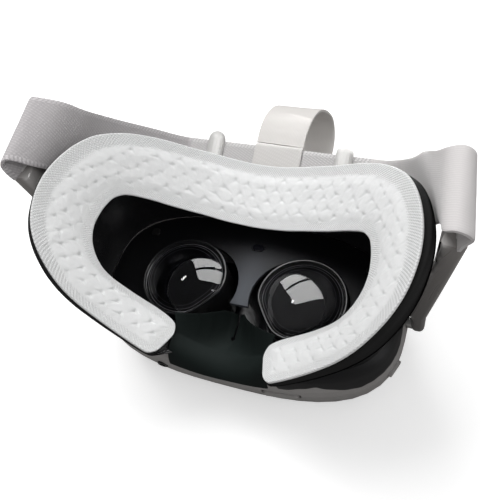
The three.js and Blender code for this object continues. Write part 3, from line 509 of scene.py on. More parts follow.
# ------------------------------------------------------------------ face cover: quilted, heat-sealed rim
def face_cover():
    NS, NW = 760, 84
    tt = np.linspace(0, len(OUT) - 1, 4001)
    o_, i_ = hermite(OUT, tt), hermite(INN, tt)
    mid = (o_ + i_) / 2
    L = np.concatenate([[0], np.cumsum(np.linalg.norm(np.diff(mid, axis=0), axis=1))])
    s = np.linspace(0, L[-1], NS)
    # finer towards the two rounded ends
    x = np.linspace(0, 1, NS)
    s = L[-1] * (x - 0.35 * np.sin(2 * np.pi * x) / (2 * np.pi) * 0.9)
    t = np.interp(s, L, tt)
    o, i = hermite(OUT, t), hermite(INN, t)
    W = np.linalg.norm(i - o, axis=1)
    e = np.minimum(s, L[-1] - s)
    R = 4.0
    cut = np.where(e < R, R - np.sqrt(np.maximum(R * R - (R - e) ** 2, 0)), 0) * 0.98
    w = np.linspace(0, 1, NW)
    w = w - 0.11 * np.sin(2 * np.pi * w) / (2 * np.pi) * 3.0
    d_out = w[None, :] * (W - 2 * cut)[:, None] + cut[:, None]
    P = o[:, None, :] + (i - o)[:, None, :] * (d_out / W[:, None])[..., None]
    d_in = W[:, None] - d_out
    true_out, true_in = d_out - cut[:, None], d_in - cut[:, None]
    ee = np.broadcast_to(e[:, None], d_out.shape)
    # distance in from the sealed rim
    q = np.minimum(np.minimum(d_out - 4.0, d_in - 3.3), ee - 3.8)
    rise = np.clip(q / 5.0, 0, 1)
    rise = rise * rise * (3 - 2 * rise) * 0.75 + 0.25 * np.clip(q / 1.6, 0, 1)
    S = np.broadcast_to(s[:, None], d_out.shape)
    D = d_out
    # quilting: staggered embossed points, each with a short V of creases, in the flat cloth's own directions
    X, Y = P[..., 0], P[..., 1]
    XF = X + 3.0e-5 * X ** 3
    flat = np.stack([XF.ravel() * 0.055, Y.ravel() * 0.055], 1)
    def nz(f, z):
        return np.array([noise.noise(Vector((a * f, b * f, z))) for a, b in flat]).reshape(X.shape)
    wx, wy, big, fine, fine2 = nz(1.6, 1.7), nz(1.6, 8.3), nz(0.7, 4.9), nz(7.5, 2.2), nz(3.2, 6.6)
    PX, PY = 8.4, 10.4
    a_, b_ = (XF + wx * 2.2) / PX, (Y + wy * 1.7 + XF * 0.06) / PY
    tuft = np.zeros_like(X)
    vee = np.zeros_like(X)
    for ox in (0.0, 0.5):
        ia, ib = np.round(a_ - ox), np.round(b_ - ox)
        dx, dy = (a_ - ox - ia) * PX, (b_ - ox - ib) * PY
        h1 = np.mod(np.sin(ia * 12.9898 + ib * 78.233 + ox * 37.7) * 43758.5453, 1.0)
        h2 = np.mod(np.sin(ia * 39.346 + ib * 11.135 + ox * 91.1) * 24634.6345, 1.0)
        tuft = np.maximum(tuft, np.exp(-(dx ** 2 + dy ** 2) / 1.05 ** 2) * (0.5 + 0.5 * h1))
        for k, base_a in enumerate((-152, -28, 95)):
            an = np.radians(base_a + (h1 - 0.5) * 30 + (h2 - 0.5) * 20 * k)
            al, ac = dx * np.cos(an) + dy * np.sin(an), -dx * np.sin(an) + dy * np.cos(an)
            ln = (3.6, 3.2, 1.4)[k] * (0.7 + 0.6 * h2)
            seg_ = np.clip(al / ln, 0, 1)
            vee = np.maximum(vee, np.exp(-(ac / 0.36) ** 2) * np.where((al > -0.3) & (al < ln), 1 - seg_ ** 2, 0) * (0.55 + 0.45 * h2))
    f1 = np.abs(np.mod(a_ + b_, 1) - 0.5) * 2
    f2 = np.abs(np.mod(a_ - b_, 1) - 0.5) * 2
    pillow = np.sqrt(np.clip((1 - f1 ** 4) * (1 - f2 ** 4), 0, 1))
    # mask for the painted shade in the sunk creases and tufts
    painted_crease_shade = np.clip(vee + tuft * 0.6, 0, 1)
    inside = np.clip(q / 2.2, 0, 1)
    puff = rise * (0.95 + 0.18 * big) + inside * (0.14 * (pillow - 0.5) + 0.12 * fine + 0.18 * fine2 - 0.40 * tuft - 0.44 * vee)
    rim = np.clip(1 - q / 1.3 + 0.5 * fine2, 0, 1)
    lip = np.clip(np.minimum(true_out, true_in) / 0.5, 0, 1)
    depth = 1.35 - puff - 0.05 * fine * (1 - rise) + 0.35 * (1 - np.sqrt(np.clip(1 - (1 - lip) ** 2, 0, 1)))
    top = on_surf(P, depth)
    bot = on_surf(P, np.full(depth.shape, COVER_T - 0.05) - 0.4 * (1 - lip))
    n = NS * NW
    V = np.concatenate([top.reshape(-1, 3), bot.reshape(-1, 3)]) * MM
    uv = np.stack([S.ravel(), D.ravel()], 1) * MM
    uv = np.concatenate([uv, uv])
    F = grid_faces(NS, NW)
    F += [tuple(reversed([k + n for k in f])) for f in grid_faces(NS, NW)]
    for a in range(NS - 1):
        F.append((a * NW, (a + 1) * NW, (a + 1) * NW + n, a * NW + n))
        F.append(((a + 1) * NW + NW - 1, a * NW + NW - 1, a * NW + NW - 1 + n, (a + 1) * NW + NW - 1 + n))
    for j in range(NW - 1):
        F.append((j + 1, j, j + n, j + 1 + n))
        b = (NS - 1) * NW
        F.append((b + j, b + j + 1, b + j + 1 + n, b + j + n))
    att = lambda a: np.concatenate([a.ravel(), np.zeros(n)])
    ob = make("quilted_face_cover", V, F, CLOTH, uv, attrs={"rim": att(rim), "painted_crease_shade": att(painted_crease_shade * inside)})
    fix_normals(ob)
    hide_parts("face_cover")
    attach(ob, "root")


def foam_pad():
    NS = 420
    t = np.linspace(0.02, len(OUT) - 1.02, NS)
    o, i = hermite(OUT, t), hermite(INN, t)
    k = t - (len(OUT) - 1) / 2
    W = np.linalg.norm(i - o, axis=1)
    d0 = COVER_T + 0.02
    d1 = COVER_T + FOAM_T * foam_scale(k) + 0.25
    prof = []
    for a in np.linspace(0, 1, 13):
        prof.append((2.0 + 1.2 * abs(2 * a - 1) ** 3 - 0.5 * math.sin(math.pi * a), a, 0))
    V, nper = [], 0
    sect = []
    for a, b in [(x, 0.0) for x in np.linspace(0.06, 0.94, 16)]:
        sect.append(("top", a))
    secs = []
    for r in range(NS):
        row = []
        n_side = 11
        wob = 0.35 * noise.noise(Vector((r * 0.055, 0.3, 7)))
        for x in np.linspace(0.05, 0.95, 16):
            row.append((x * W[r], d0))
        for y in np.linspace(0, 1, n_side):
            bulge = 1.6 - 1.1 * math.sin(math.pi * y) + 0.18 * math.sin(y * 14 + r * 0.11) + wob
            row.append((W[r] - bulge, d0 + (d1[r] - d0) * y))
        for x in np.linspace(0.95, 0.05, 16):
            row.append((x * W[r], d1[r]))
        for y in np.linspace(1, 0, n_side):
            bulge = 1.6 - 1.1 * math.sin(math.pi * y) + 0.18 * math.sin(y * 13 + r * 0.13 + 2) - wob
            row.append((bulge, d0 + (d1[r] - d0) * y))
        secs.append(row)
    A = np.array(secs)
    P = o[:, None, :] + (i - o)[:, None, :] * (A[..., 0] / W[:, None])[..., None]
    V = on_surf(P, A[..., 1]).reshape(-1, 3) * MM
    nc = A.shape[1]
    F = grid_faces(NS, nc, wrap_c=True)
    F.append(tuple(range(nc))[::-1])
    F.append(tuple((NS - 1) * nc + j for j in range(nc)))
    ob = make("face_foam", V, F, FOAM, angle=70)
    fix_normals(ob)
    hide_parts("foam_pad")
    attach(ob, "root")


# ------------------------------------------------------------------ facial interface (light seal)
def nose_dip(x):
    return NOSE_D * np.maximum(0, 1 - (x / NOSE_HW) ** 2)


def shell_base(x, y, inset, z):
    hw, hh = SHW - inset, SHH - inset
    c, s = x / hw, (y - SCY) / hh
    k = (abs(c) ** SN + abs(s) ** SN) ** (-1 / SN)
    return np.array([hw * c * k, SCY + hh * s * k, z])


def interface():
    def inset2(a, b, d):
        a, b = np.array(a, float), np.array(b, float)
        return a + (b - a) * d / np.linalg.norm(b - a)

    def section(o, i, k):
        D0 = COVER_T + FOAM_T * float(foam_scale(np.array(k))) + GAP
        D1 = D0 + FLANGE_T
        a, c, a2 = inset2(o, i, 1.2), inset2(i, o, 1.6), inset2(o, i, 3.6)
        S = lambda p, d: on_surf(np.array(p), np.array(d))
        A, C, C2, A2 = S(a, D0), S(c, D0), S(c, D1), S(a2, D1)
        zb = RIM_Z + GAP
        B, B2 = shell_base(o[0], o[1], 6.6, zb), shell_base(o[0], o[1], 9.4, zb)
        h = max(0, min(1, (A[2] - zb) / 40))
        M, M2 = (B + A) / 2, (B2 + A2) / 2
        d = np.array([o[0] / 90, (o[1] - SCY) / 52])
        d = d / (np.linalg.norm(d) or 1)
        for q in (M, M2):
            q[:2] -= d * 0.3 * h
        return [A, S((np.array(a) + c) / 2, D0), C, C2, S((np.array(a) + c) / 2, D1), A2, M2, B2, B, M]

    right = [section(o, PAD_IN[k], k) for k, o in enumerate(PAD_OUT)]
    nose = []
    for x in (21, 15.5, 10, 5, 0):
        d = float(nose_dip(x))
        zb = RIM_Z + GAP - d
        z1 = zb + 3.4
        B, B2 = shell_base(x, -60, 6.6, zb), shell_base(x, -60, 9.4, zb)
        yo, yi = B[1] - 0.9, B[1] + 5.6
        nose.append([[x, yo, z1], [x, (yo + yi) / 2, z1], [x, yi, z1], [x, yi, z1 - 1.7], [x, (yi + B2[1]) / 2, z1 - 1.7],
                     [x, B2[1] + 0.1, z1 - 1.7], [x, B2[1] + 0.05, zb + 0.8], B2, B, [x, B[1] - 0.5, zb + 1.6]])
    half = np.array([np.array(r, float) for r in right + nose])
    left = half[1:-1][::-1] * [-1, 1, 1]
    ring = np.concatenate([half, left])
    t = np.linspace(0, len(ring), len(ring) * 7, endpoint=False)
    sec = hermite(ring, t, closed=True, tension=0.42)
    # finer walls: the two tall sides are curved, the flange edges stay crisp
    rows = []
    for r in sec:
        A, Mf, C, C2, Mg, A2, M2, B2, B, M = r
        def quad(p, m, q, n):
            u = np.linspace(0, 1, n)[:, None]
            c = 2 * m - (p + q) / 2
            return (1 - u) ** 2 * p + 2 * u * (1 - u) * c + u**2 * q
        row = np.concatenate([quad(A, Mf, C, 6), quad(C2, Mg, A2, 6), quad(A2, M2, B2, 12)[1:], quad(B, M, A, 12)[:-1]])
        rows.append(row)
    R = np.array(rows)
    F = grid_faces(len(R), R.shape[1], wrap_r=True, wrap_c=True)
    ob = make("light_seal", R.reshape(-1, 3) * MM, F, BLACK, angle=38)
    fix_normals(ob)
    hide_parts("facial_interface")
    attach(ob, "root")


# ------------------------------------------------------------------ nose flap
def nose_flap():
    TOP = np.array([[0, 0, -10.5, -15.5], [0.15, 3.5, -11.5, -10.5], [0.3, 6, -14, -5], [0.45, 9.5, -18, 0], [0.65, 14.5, -21.8, 3.4],
                    [0.85, 22.0, -24.2, 4.9], [1, 27.8, -25.4, 5.4]])
    rows, cols = 64, 121
    us = np.linspace(-1, 1, cols)
    V = np.zeros((2, cols, rows, 3))
    LOW = 16                                    # rows that run from the leaves' root out over the bridge
    for j, u in enumerate(us):
        a, sg = abs(u), np.sign(u)
        T = np.array([np.interp(a, TOP[:, 0], TOP[:, c]) for c in (1, 2, 3)])
        xb = 25.5 * a
        yb, zb = -34.2 + a, LZ + 0.7 - float(nose_dip(xb)) + 0.2 * a
        zl = 38.2 + 3.6 * a ** 2 + 0.3 * math.sin(5 * u)
        xe = sg * 27.5 * a
        ye = SCY - SHH * (1 - (abs(xe) / SHW) ** SN) ** (1 / SN)
        root = np.array([sg * xb, yb, zb])
        lip = np.array([sg * 26.4 * a, ye + 4.4, LZ + 0.1 - float(nose_dip(26.0 * a)) * 0.86 + 0.6 * a])
        edge = np.array([xe, ye + 0.5 - 0.9, zl])
        for i in range(rows):
            if i < LOW:                          # quadratic sweep edge -> lip -> root
                t = i / LOW
                c = 2 * lip - (edge + root) / 2
                p = (1 - t) ** 2 * edge + 2 * t * (1 - t) * c + t * t * root
                dirn = np.array([0, -0.75, 0.66]) * (1 - t) + np.array([0, 0.2, 0.45]) * t
                dirn = dirn / np.linalg.norm(dirn)
                th = 0.45
            else:
                t = (i - LOW) / (rows - 1 - LOW)
                q = t * (1 - t) * 4
                p = np.array([sg * (xb + (T[0] - xb) * t), yb + (T[1] - yb) * t, zb + (LZ + T[2] - zb) * t - 3.5 * (1 - a * a) * q])
                dirn = np.array([0, 0.2, 0.45]) / 0.4924
                th = 0.42 + 0.34 * math.exp(-((t - 0.978) / 0.028) ** 2)
            V[0, j, i] = p + dirn * th
            V[1, j, i] = p - dirn * th
    n = cols * rows
    F = grid_faces(cols, rows) + [tuple(reversed([k + n for k in f])) for f in grid_faces(cols, rows)]
    for j in range(cols - 1):
        for i, rv in ((0, False), (rows - 1, True)):
            q = (j * rows + i, (j + 1) * rows + i, (j + 1) * rows + i + n, j * rows + i + n)
            F.append(q if not rv else q[::-1])
    for i in range(rows - 1):
        for j, rv in ((0, True), (cols - 1, False)):
            q = (j * rows + i, j * rows + i + 1, j * rows + i + 1 + n, j * rows + i + n)
            F.append(q if not rv else q[::-1])
    ob = make("nose_guard", V.reshape(-1, 3) * MM, F, RUBBER, angle=50)
    fix_normals(ob)
    # the slit between the leaves, ending in a round hole
    for cut in ("slit", "hole"):
        me = bpy.data.meshes.new(cut)
        import bmesh
        b = bmesh.new()
        if cut == "slit":
            bmesh.ops.create_cube(b, size=1.0, matrix=Matrix.Translation((0, -0.0145, 0.040)) @ Matrix.Diagonal((0.0010, 0.019, 0.060, 1)))
        else:
            bmesh.ops.create_cone(b, cap_ends=True, segments=28, radius1=0.0012, radius2=0.0012, depth=0.06, matrix=Matrix.Translation((0, -0.024, 0.040)))
        b.to_mesh(me)
        b.free()
        c = bpy.data.objects.new(cut, me)
        scene.collection.objects.link(c)
        m = ob.modifiers.new(cut, "BOOLEAN")
        m.object, m.operation, m.solver = c, "DIFFERENCE", "EXACT"
        bpy.context.view_layer.update()
        dg = bpy.context.evaluated_depsgraph_get()
        new = bpy.data.meshes.new_from_object(ob.evaluated_get(dg))
        ob.modifiers.clear()
        ob.data = new
        bpy.data.objects.remove(c)
    ob.data.set_sharp_from_angle(angle=math.radians(50))
    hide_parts("nose_flap")
    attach(ob, "root")


def seal_skirt():
    PZ = np.array([17.15, 22, 28, 34, 39, 43, 46.5, 49, 50.0, 50.9])
    PI_ = np.array([2.55, 1.3, 0.3, 0, 0.5, 1.6, 3.2, 5.0, 6.4, 7.4])
    LOWZ = np.array([[-180, 47.8], [-150, 47.4], [-135, 46.2], [-122, 47.2], [-109, 46.6], [-97, 44.0], [-90, 42.5], [-81, 41.5], [-74, 42.2],
                     [-70.5, 44.4], [-69.3, 40.4], [-66, 40.8], [-62, 42.6], [-57, 44.0], [-52, 41.9], [-47, 40.2], [-42, 39.6], [-36, 40.4],
                     [-31, 41.0], [-18, 42.4], [-5, 44.4], [15, 47.2], [40, 48.0], [90, 48.2], [140, 48.0], [180, 47.8]])
    th = np.radians(np.linspace(-180, 180, 900, endpoint=False))
    c, sn = np.cos(th), np.sin(th)
    k = (np.abs(c) ** SN + np.abs(sn) ** SN) ** (-1 / SN)
    zl = np.interp(np.degrees(th), LOWZ[:, 0], LOWZ[:, 1]) + 0.12 * np.sin(th * 61)
    rows = []
    for side, offs in ((0, 0.55), (1, 0.12)):
        m = 14
        for r in range(m):
            f = r / (m - 1) if side == 0 else 1 - r / (m - 1)
            top = np.maximum(50.9 - 2.6 * nose_dip((SHW - 5) * c * k) * (sn < 0), zl + 0.4)
            z = top + (zl - top) * f
            inset = np.interp(z, PZ, PI_) - offs * (1 - 0.3 * (f > 0.97))
            rows.append(np.stack([(SHW - inset) * c * k, SCY + (SHH - inset) * sn * k, z], 1))
    V = np.array(rows)
    F = grid_faces(len(rows), len(th), wrap_r=True, wrap_c=True)
    Q = V.reshape(-1, 3)
    F = [f for f in F if not (abs(Q[f[0]][0]) < 22 and Q[f[0]][1] < 0)]      # the nose guard covers this stretch
    ob = make("light_seal_skirt", V.reshape(-1, 3) * MM, F, SKIRT, angle=40)
    fix_normals(ob)
    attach(ob, "root")


# ------------------------------------------------------------------ lenses
LENS_X, LENS_R, BARREL_R = 34.0, 22.2, 24.3


def lens(side):
    s = -1 if side == "left" else 1
    cx = s * LENS_X
    body = side + "_lens"
    nseg = 160
    th = np.linspace(0, 2 * np.pi, nseg, endpoint=False)
    nx, ny = -s * 0.80, -0.60                       # towards the nose, the edge is ground flat
    cosn = np.cos(th) * nx + np.sin(th) * ny

    def flat(r, d):
        lim = np.where(cosn > 0.2, d / np.maximum(cosn, 0.2), 1e3)
        return 1 / ((1 / r) ** 24 + (1 / np.minimum(lim, 900)) ** 24) ** (1 / 24)

    def lathe(name, prof, mat, d, r_ref, uvr=False, caps=True):
        rows, uv = [], []
        for (r, z) in prof:
            k = flat(r_ref, d) / r_ref
            rows.append(np.stack([cx + r * k * np.cos(th), r * k * np.sin(th), np.full(nseg, z)], 1))
            uv.append(np.stack([np.full(nseg, r * MM), th * 0.01], 1))
        V = np.concatenate(rows) * MM
        U = np.concatenate(uv)
        F = grid_faces(len(prof), nseg, wrap_c=True)
        if caps:
            F.append(tuple(range(nseg))[::-1])
            F.append(tuple((len(prof) - 1) * nseg + j for j in range(nseg)))
        ob = make(name, V, F, mat, U, angle=32)
        fix_normals(ob)
        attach(ob, body)
        return ob

    # barrel: stepped ring with a polished bevel
    zt = LZ
    prof = [(BARREL_R, zt - 33), (BARREL_R, zt - 0.9), (BARREL_R - 0.15, zt - 0.45), (BARREL_R - 0.5, zt - 0.1), (BARREL_R - 0.9, zt),
            (BARREL_R - 1.25, zt - 0.1), (BARREL_R - 1.45, zt - 0.5), (BARREL_R - 1.5, zt - 1.6), (BARREL_R - 1.9, zt - 1.9),
            (BARREL_R - 1.95, zt - 3.2), (BARREL_R - 1.95, zt - 33)]
    ring = lathe(side + "_eyepiece_ring", prof, BLACK, 22.4, BARREL_R, caps=False)
    n = len(prof)
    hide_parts(side + "_lens_barrel")
    # glass: domed front over a flat back with a ground edge
    e = np.linspace(0.02, 1, 26)
    dome = [(LENS_R * 0.985 * x, zt + 5.0 - 0.2 - 6.2 * x ** 2.35) for x in e]
    prof = [(0.03, zt + 4.8)] + dome + [(LENS_R * 0.998, zt - 1.75), (LENS_R * 0.998, zt - 3.0), (0.03, zt - 3.0)]
    g = lathe(side + "_lens_glass", prof, GLASS, 20.7, LENS_R)
    g.data.materials.append(LBACK.m)
    for f in g.data.polygons:
        if f.center.z < (zt - 2.9) * MM:
            f.material_index = 1
    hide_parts(side + "_lens")
    # dark stepped back of the lens
    prof = [(0.03, zt - 6.4)] + [(LENS_R * 0.995 * x, zt - 6.4 + 2.9 * x ** 2) for x in np.linspace(0.03, 1, 30)]
    prof += [(LENS_R * 0.995, zt - 8.4), (0.03, zt - 8.4)]
    b = lathe(side + "_lens_steps", prof, RINGS, 20.7, LENS_R, uvr=True)


# ------------------------------------------------------------------ side arms
def arm_x(n, s):
    return 93.4 + max(0.0, n) * ((11.3 if s > 0 else 15.6) / 70)


def arm_y(n):
    y0 = 1.0 + 0.02 * n
    k = np.clip((n - 30) / 12, 0, 1)
    k = k * k * (3 - 2 * k)
    return y0, (14.5 + n * 0.06) * (1 - k) + (16.7 + (n - 36) * 0.72) * k


def side_arm(side):
    """Smooth arm with a rolled lower lip turned in towards the visor and a shallow groove along the outer face."""
    s = -1 if side == "left" else 1
    ns = np.concatenate([-19 + 9 * (1 - np.cos(np.linspace(0, np.pi / 2, 18))), np.linspace(-9.4, 67.2, 96), [67.6, 67.9, 68.0]])
    # how far out the gasket, foam and cover reach at each height, so that the lip stays clear of them
    hull = []
    for nm in ("light_seal", "face_foam", "quilted_face_cover", "light_seal_skirt"):
        me = bpy.data.objects[nm].data
        c = np.zeros(len(me.vertices) * 3)
        me.vertices.foreach_get("co", c)
        hull.append(c.reshape(-1, 3) / MM)
    hull = np.concatenate(hull)
    hull = hull[hull[:, 0] * s > 60]
    V, U, G = [], [], []
    for n in ns:
        y0, y1 = arm_y(n)
        mid = (y0 + y1) / 2
        k = math.sqrt(max(0.02, 1 - (max(0.0, -10 - n) / 9.0) ** 2))
        kt = 0.55 + 0.45 * k
        H, T = (y1 - y0) / 2 * k, 3.3 * kt
        r = min(2.7 * kt, H * 0.95)
        if n > 67.3:
            T, H = T - (n - 67.3) * 0.7, H - (n - 67.3) * 0.7
        lip = (3.2 * float(np.clip((n + 4) / 8, 0, 1)) + 5.4 * float(np.clip((n - 10) / 42, 0, 1))) * (1 if s > 0 else 0.4)
        lip += (2.4 * float(np.clip((n - 52) / 6, 0, 1))) if s > 0 else 0
        lh = 4.4 + 11 * float(np.clip((n - 54.5) / 5, 0, 1))
        near = hull[np.abs(hull[:, 2] - (LZ + n)) < 5.0]
        if len(near):
            lip = min(lip, max(0.0, arm_x(n, s) - T - 0.6 - float((near[:, 0] * s).max()) - 0.9))
        row = []
        for cx, cy, a0 in ((T - r, H - r, 0), (-(T - r), H - r, 90), (-(T - r), -(H - r), 180), (T - r, -(H - r), 270)):
            for q in range(9):
                a = math.radians(a0 + 90 * q / 8)
                row.append([cx + r * math.cos(a), cy + r * math.sin(a)])
            if a0 in (90, 270):                          # long faces, sampled
                ya = row[-1][1]
                yb = -ya
                for q in range(1, 22):
                    row.append([(-T if a0 == 90 else T), ya + (yb - ya) * q / 22])
        row = np.array(row)
        g = np.where(row[:, 0] > T - 0.2, np.exp(-((row[:, 1] + H * 0.30) / 0.55) ** 2), 0)
        row[:, 0] -= 0.42 * g * kt
        low = np.clip(1 - (row[:, 1] + H) / lh, 0, 1)
        low = low * low * (3 - 2 * low)
        row[:, 0] = np.where(row[:, 0] < 0, row[:, 0] - lip * low * np.clip(-row[:, 0] / T * 1.6, 0, 1), row[:, 0])
        lean = 0.12 * max(0, min(1, (n - 30) / 38))
        x = arm_x(n, s)
        for a, b in row:
            V.append([s * (x + a - lean * (b + mid - y0)), mid + b, LZ + n])
            U.append([(n + 19) * MM, (a + b * 0.6) * MM])
            # mask of the painted highlight that makes the inward lip paler
            G.append(float(np.clip((-T - a - 0.6) / 2.2, 0, 1)) * float(np.clip((n - 30) / 26, 0, 1)))
    m = len(V) // len(ns)
    F = grid_faces(len(ns), m, wrap_c=True)
    F.append(tuple(range(m))[::-1])
    F.append(tuple((len(ns) - 1) * m + j for j in range(m)))
    o = make(side + "_side_arm", np.array(V) * MM, F, ARM2, U, angle=42, attrs={"painted_lit_lip": G})
    fix_normals(o)
    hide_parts(side + "_arm")
    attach(o, side + "_arm")


def seated_port():
    """The charging socket, turned to the slope of the side wall and set flush with it."""
    src = nodes["usb_port"]
    P = np.array([list(src.matrix_world @ v.co) for v in src.data.vertices]) / MM
    a, c = 0.367, np.array([-85.8, -18.0])
    d = P[:, :2] - np.array([-86.2, -17.9])
    P[:, 0] = c[0] + d[:, 0] * math.cos(a) - d[:, 1] * math.sin(a) + 0.15
    P[:, 1] = c[1] + d[:, 0] * math.sin(a) + d[:, 1] * math.cos(a)
    o = make("charging_port", P * MM, [tuple(f.vertices) for f in src.data.polygons], DARKMETAL, angle=34)
    fix_normals(o)
    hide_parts("usb_port")
    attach(o, "root")


# ------------------------------------------------------------------ straps
STRAP_W, STRAP_T = 40.0, 1.8
TILT = math.radians(25)
BW = np.array([0, math.cos(TILT), math.sin(TILT)])
BT = np.array([0, -math.sin(TILT), math.cos(TILT)])
BAND_C = np.array([0, 77, LZ - 4.7])
BAND_X0, BAND_X1, TOP_X, TOP_W = -64.0, 51.0, -5.2, 30.0
AX, AXR = 93.4 + 68 * 15.6 / 70, 93.4 + 68 * 11.3 / 70


def band_pt(x, w, t=0.0):
    return np.array([x, 0, 0]) + BAND_C + BW * w + BT * t


def up(p):
    return [[np.array(q) + [0, 0, LZ] for q in f] for f in p]


def pair(x):
    return [band_pt(x, -STRAP_W / 2), band_pt(x, STRAP_W / 2)]


LEFT = up([[[-AX, 1.6, 67.4], [-AX + 4.6, 39.4, 67.4]], [[-AX - 0.6, 1, 73], [-AX + 2.6, 41, 73]], [[-AX - 1.4, 1.6, 77], [-AX - 4.4, 42, 78]],
           [[-AX + 0.8, 2.6, 80.6], [-AX - 4.4, 43.3, 82.6]], [[-104.4, 4.5, 80.2], [-108.6, 45, 81]], [[-100.0, 9, 71.5], [-101.4, 50.4, 73.5]],
           [[-98.0, 17, 58], [-98.4, 57, 62]], [[-98.2, 28, 39], [-96.9, 65.6, 49.5]], [[-94.5, 38, 21], [-91.2, 74.9, 35.5]],
           [[-84.5, 47.2, 6.4], [-82.5, 84.2, 21.4]], [[-74.5, 55.2, -7.5], [-73, 91.3, 9.6]]]) + [pair(BAND_X0 - 3), pair(BAND_X0 - 0.02)]
RIGHT = up([[[AXR, 1.6, 67.4], [AXR - 4.6, 39.4, 67.4]], [[AXR + 1.2, 0.2, 73.5], [AXR - 3.2, 39.9, 73.5]], [[107.8, -2.2, 82], [104, 37.6, 82]],
            [[105.4, -4, 87.6], [102.6, 36, 87.6]], [[101.4, -4.6, 90.0], [98.8, 35.2, 90.0]], [[97.6, -3.4, 87.4], [93.8, 35.8, 87.4]],
            [[97.4, 3.6, 79], [89.6, 41, 79]], [[96.4, 15, 65], [84.2, 50.5, 67]], [[95.6, 27, 48], [79.6, 60.8, 51]],
            [[92.5, 36.8, 31], [75.2, 71.2, 36.5]], [[84, 46.8, 12], [69, 81.6, 22]], [[71, 55, -5], [61, 90.6, 9.5]]]) + [pair(BAND_X1 + 3), pair(BAND_X1 + 0.02)]


def side_strap(name, pairs, mat, node):
    t = np.linspace(0, len(pairs) - 1, 300)
    lo = hermite([p[0] for p in pairs], t)
    hi = hermite([p[1] for p in pairs], t)
    o = strap(name, lo, hi, STRAP_T, mat)
    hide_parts(node)
    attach(o, "left_arm")
    return o


def band():
    x = np.linspace(BAND_X0, BAND_X1, 110)
    lo = np.array([band_pt(a, -STRAP_W / 2) for a in x])
    hi = np.array([band_pt(a, STRAP_W / 2) for a in x])
    o = strap("rear_band_webbing", lo, hi, STRAP_T, WEB_B, wave=0.16)
    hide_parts("rear_band")
    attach(o, "left_arm")


def wrap():
    """The looped end of the top strap, sewn round the band."""
    h, t, r = STRAP_W / 2 + 1.0, STRAP_T / 2 + 1.0, 1.55
    path = []
    for cx, cy, a0 in ((h - r, t - r, 0), (-(h - r), t - r, 90), (-(h - r), -(t - r), 180), (h - r, -(t - r), 270)):
        for k in range(7):
            a = math.radians(a0 + 15 * k)
            path.append((cx + r * math.cos(a), cy + r * math.sin(a)))
        nxt = None
    path.append(path[0])
    P = np.array(path)
    seg = np.concatenate([[0], np.cumsum(np.linalg.norm(np.diff(P, axis=0), axis=1))])
    s = np.linspace(0, seg[-1], 170)
    Q = np.stack([np.interp(s, seg, P[:, 0]), np.interp(s, seg, P[:, 1])], 1)
    lo = np.array([band_pt(TOP_X - TOP_W / 2, a, b) for a, b in Q])
    hi = np.array([band_pt(TOP_X + TOP_W / 2, a, b) for a, b in Q])
    o = strap("top_strap_loop", lo, hi, 1.1, WEB_W, across=20, wave=0.06)
    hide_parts("top_strap_wrap")
    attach(o, "left_arm")


def top_strap():
    s0 = band_pt(TOP_X, STRAP_W / 2 + 2.0)
    X0 = TOP_X
    c = [s0, [X0 + 0.2, s0[1] + 8, s0[2] + 3.2], [X0 + 1.2, 114, LZ + 9.5], [X0 + 2.8, 126.5, LZ + 5.5], [X0 + 5.2, 134.8, LZ - 3.5],
         [X0 + 7.6, 137.6, LZ - 15], [X0 + 8.8, 132, LZ - 26], [X0 + 8.8, 116, LZ - 32], [X0 + 7.4, 93, LZ - 33.5],
         [X0 + 6.2, 73, LZ - 32.5], [0, 58, 24], [0, 48.9, 24]]
    C = centripetal(c, np.linspace(0, len(c) - 1, 260))
    lo, hi = C + [-TOP_W / 2, 0, 0], C + [TOP_W / 2, 0, 0]
    tan = unit(np.gradient(C, axis=0))
    w = np.array([1.0, 0, 0]) - tan * tan[:, :1]
    w = unit(w)
    o = strap("top_strap_webbing", C - w * TOP_W / 2, C + w * TOP_W / 2, STRAP_T, WEB_T, across=24, wave=0.1)
    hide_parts("top_strap")
    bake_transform(o)


# ------------------------------------------------------------------ build
face_cover()
foam_pad()
interface()
nose_flap()
seal_skirt()
lens("left")
lens("right")
side_arm("left")
side_arm("right")
seated_port()
side_strap("left_strap_webbing", LEFT, WEB_L, "left_side_strap")
side_strap("right_strap_webbing", RIGHT, WEB_R, "right_side_strap")
band()
wrap()
top_strap()

FINISH = {
    "front_cover": COVERSHELL, "side_housing": SHELL, "power_button": SHELL, "status_led": LED, "volume_rocker": SHELL,
    "audio_jack": DARKMETAL, "display_panel": SCREEN, "mainboard": BOARD, "battery_pack": BLACK,
    "cooling_fan": DARKMETAL, "heat_spreader": METAL, "face_plate": PLATE2, "proximity_sensor": CAMGLASS,
    "left_hinge_pin": METAL, "right_hinge_pin": METAL, "left_speaker": FOAM, "right_speaker": FOAM,
    "left_slider": SLIDER, "right_slider": SLIDER, "left_strap_clip": SLIDER, "right_strap_clip": SLIDER, "top_strap_anchor": SLIDER,
}
for i in (1, 2, 3, 4):
    FINISH["tracking_camera_%d" % i] = CAMGLASS
    FINISH["plate_screw_%d" % i] = DARKMETAL
for name, mat in FINISH.items():
    ob = nodes[name]
    ob.data.materials.clear()
    ob.data.materials.append(mat.m)
    ob.data.polygons.foreach_set("use_smooth", [True] * len(ob.data.polygons))
    ob.data.set_sharp_from_angle(angle=math.radians(34))

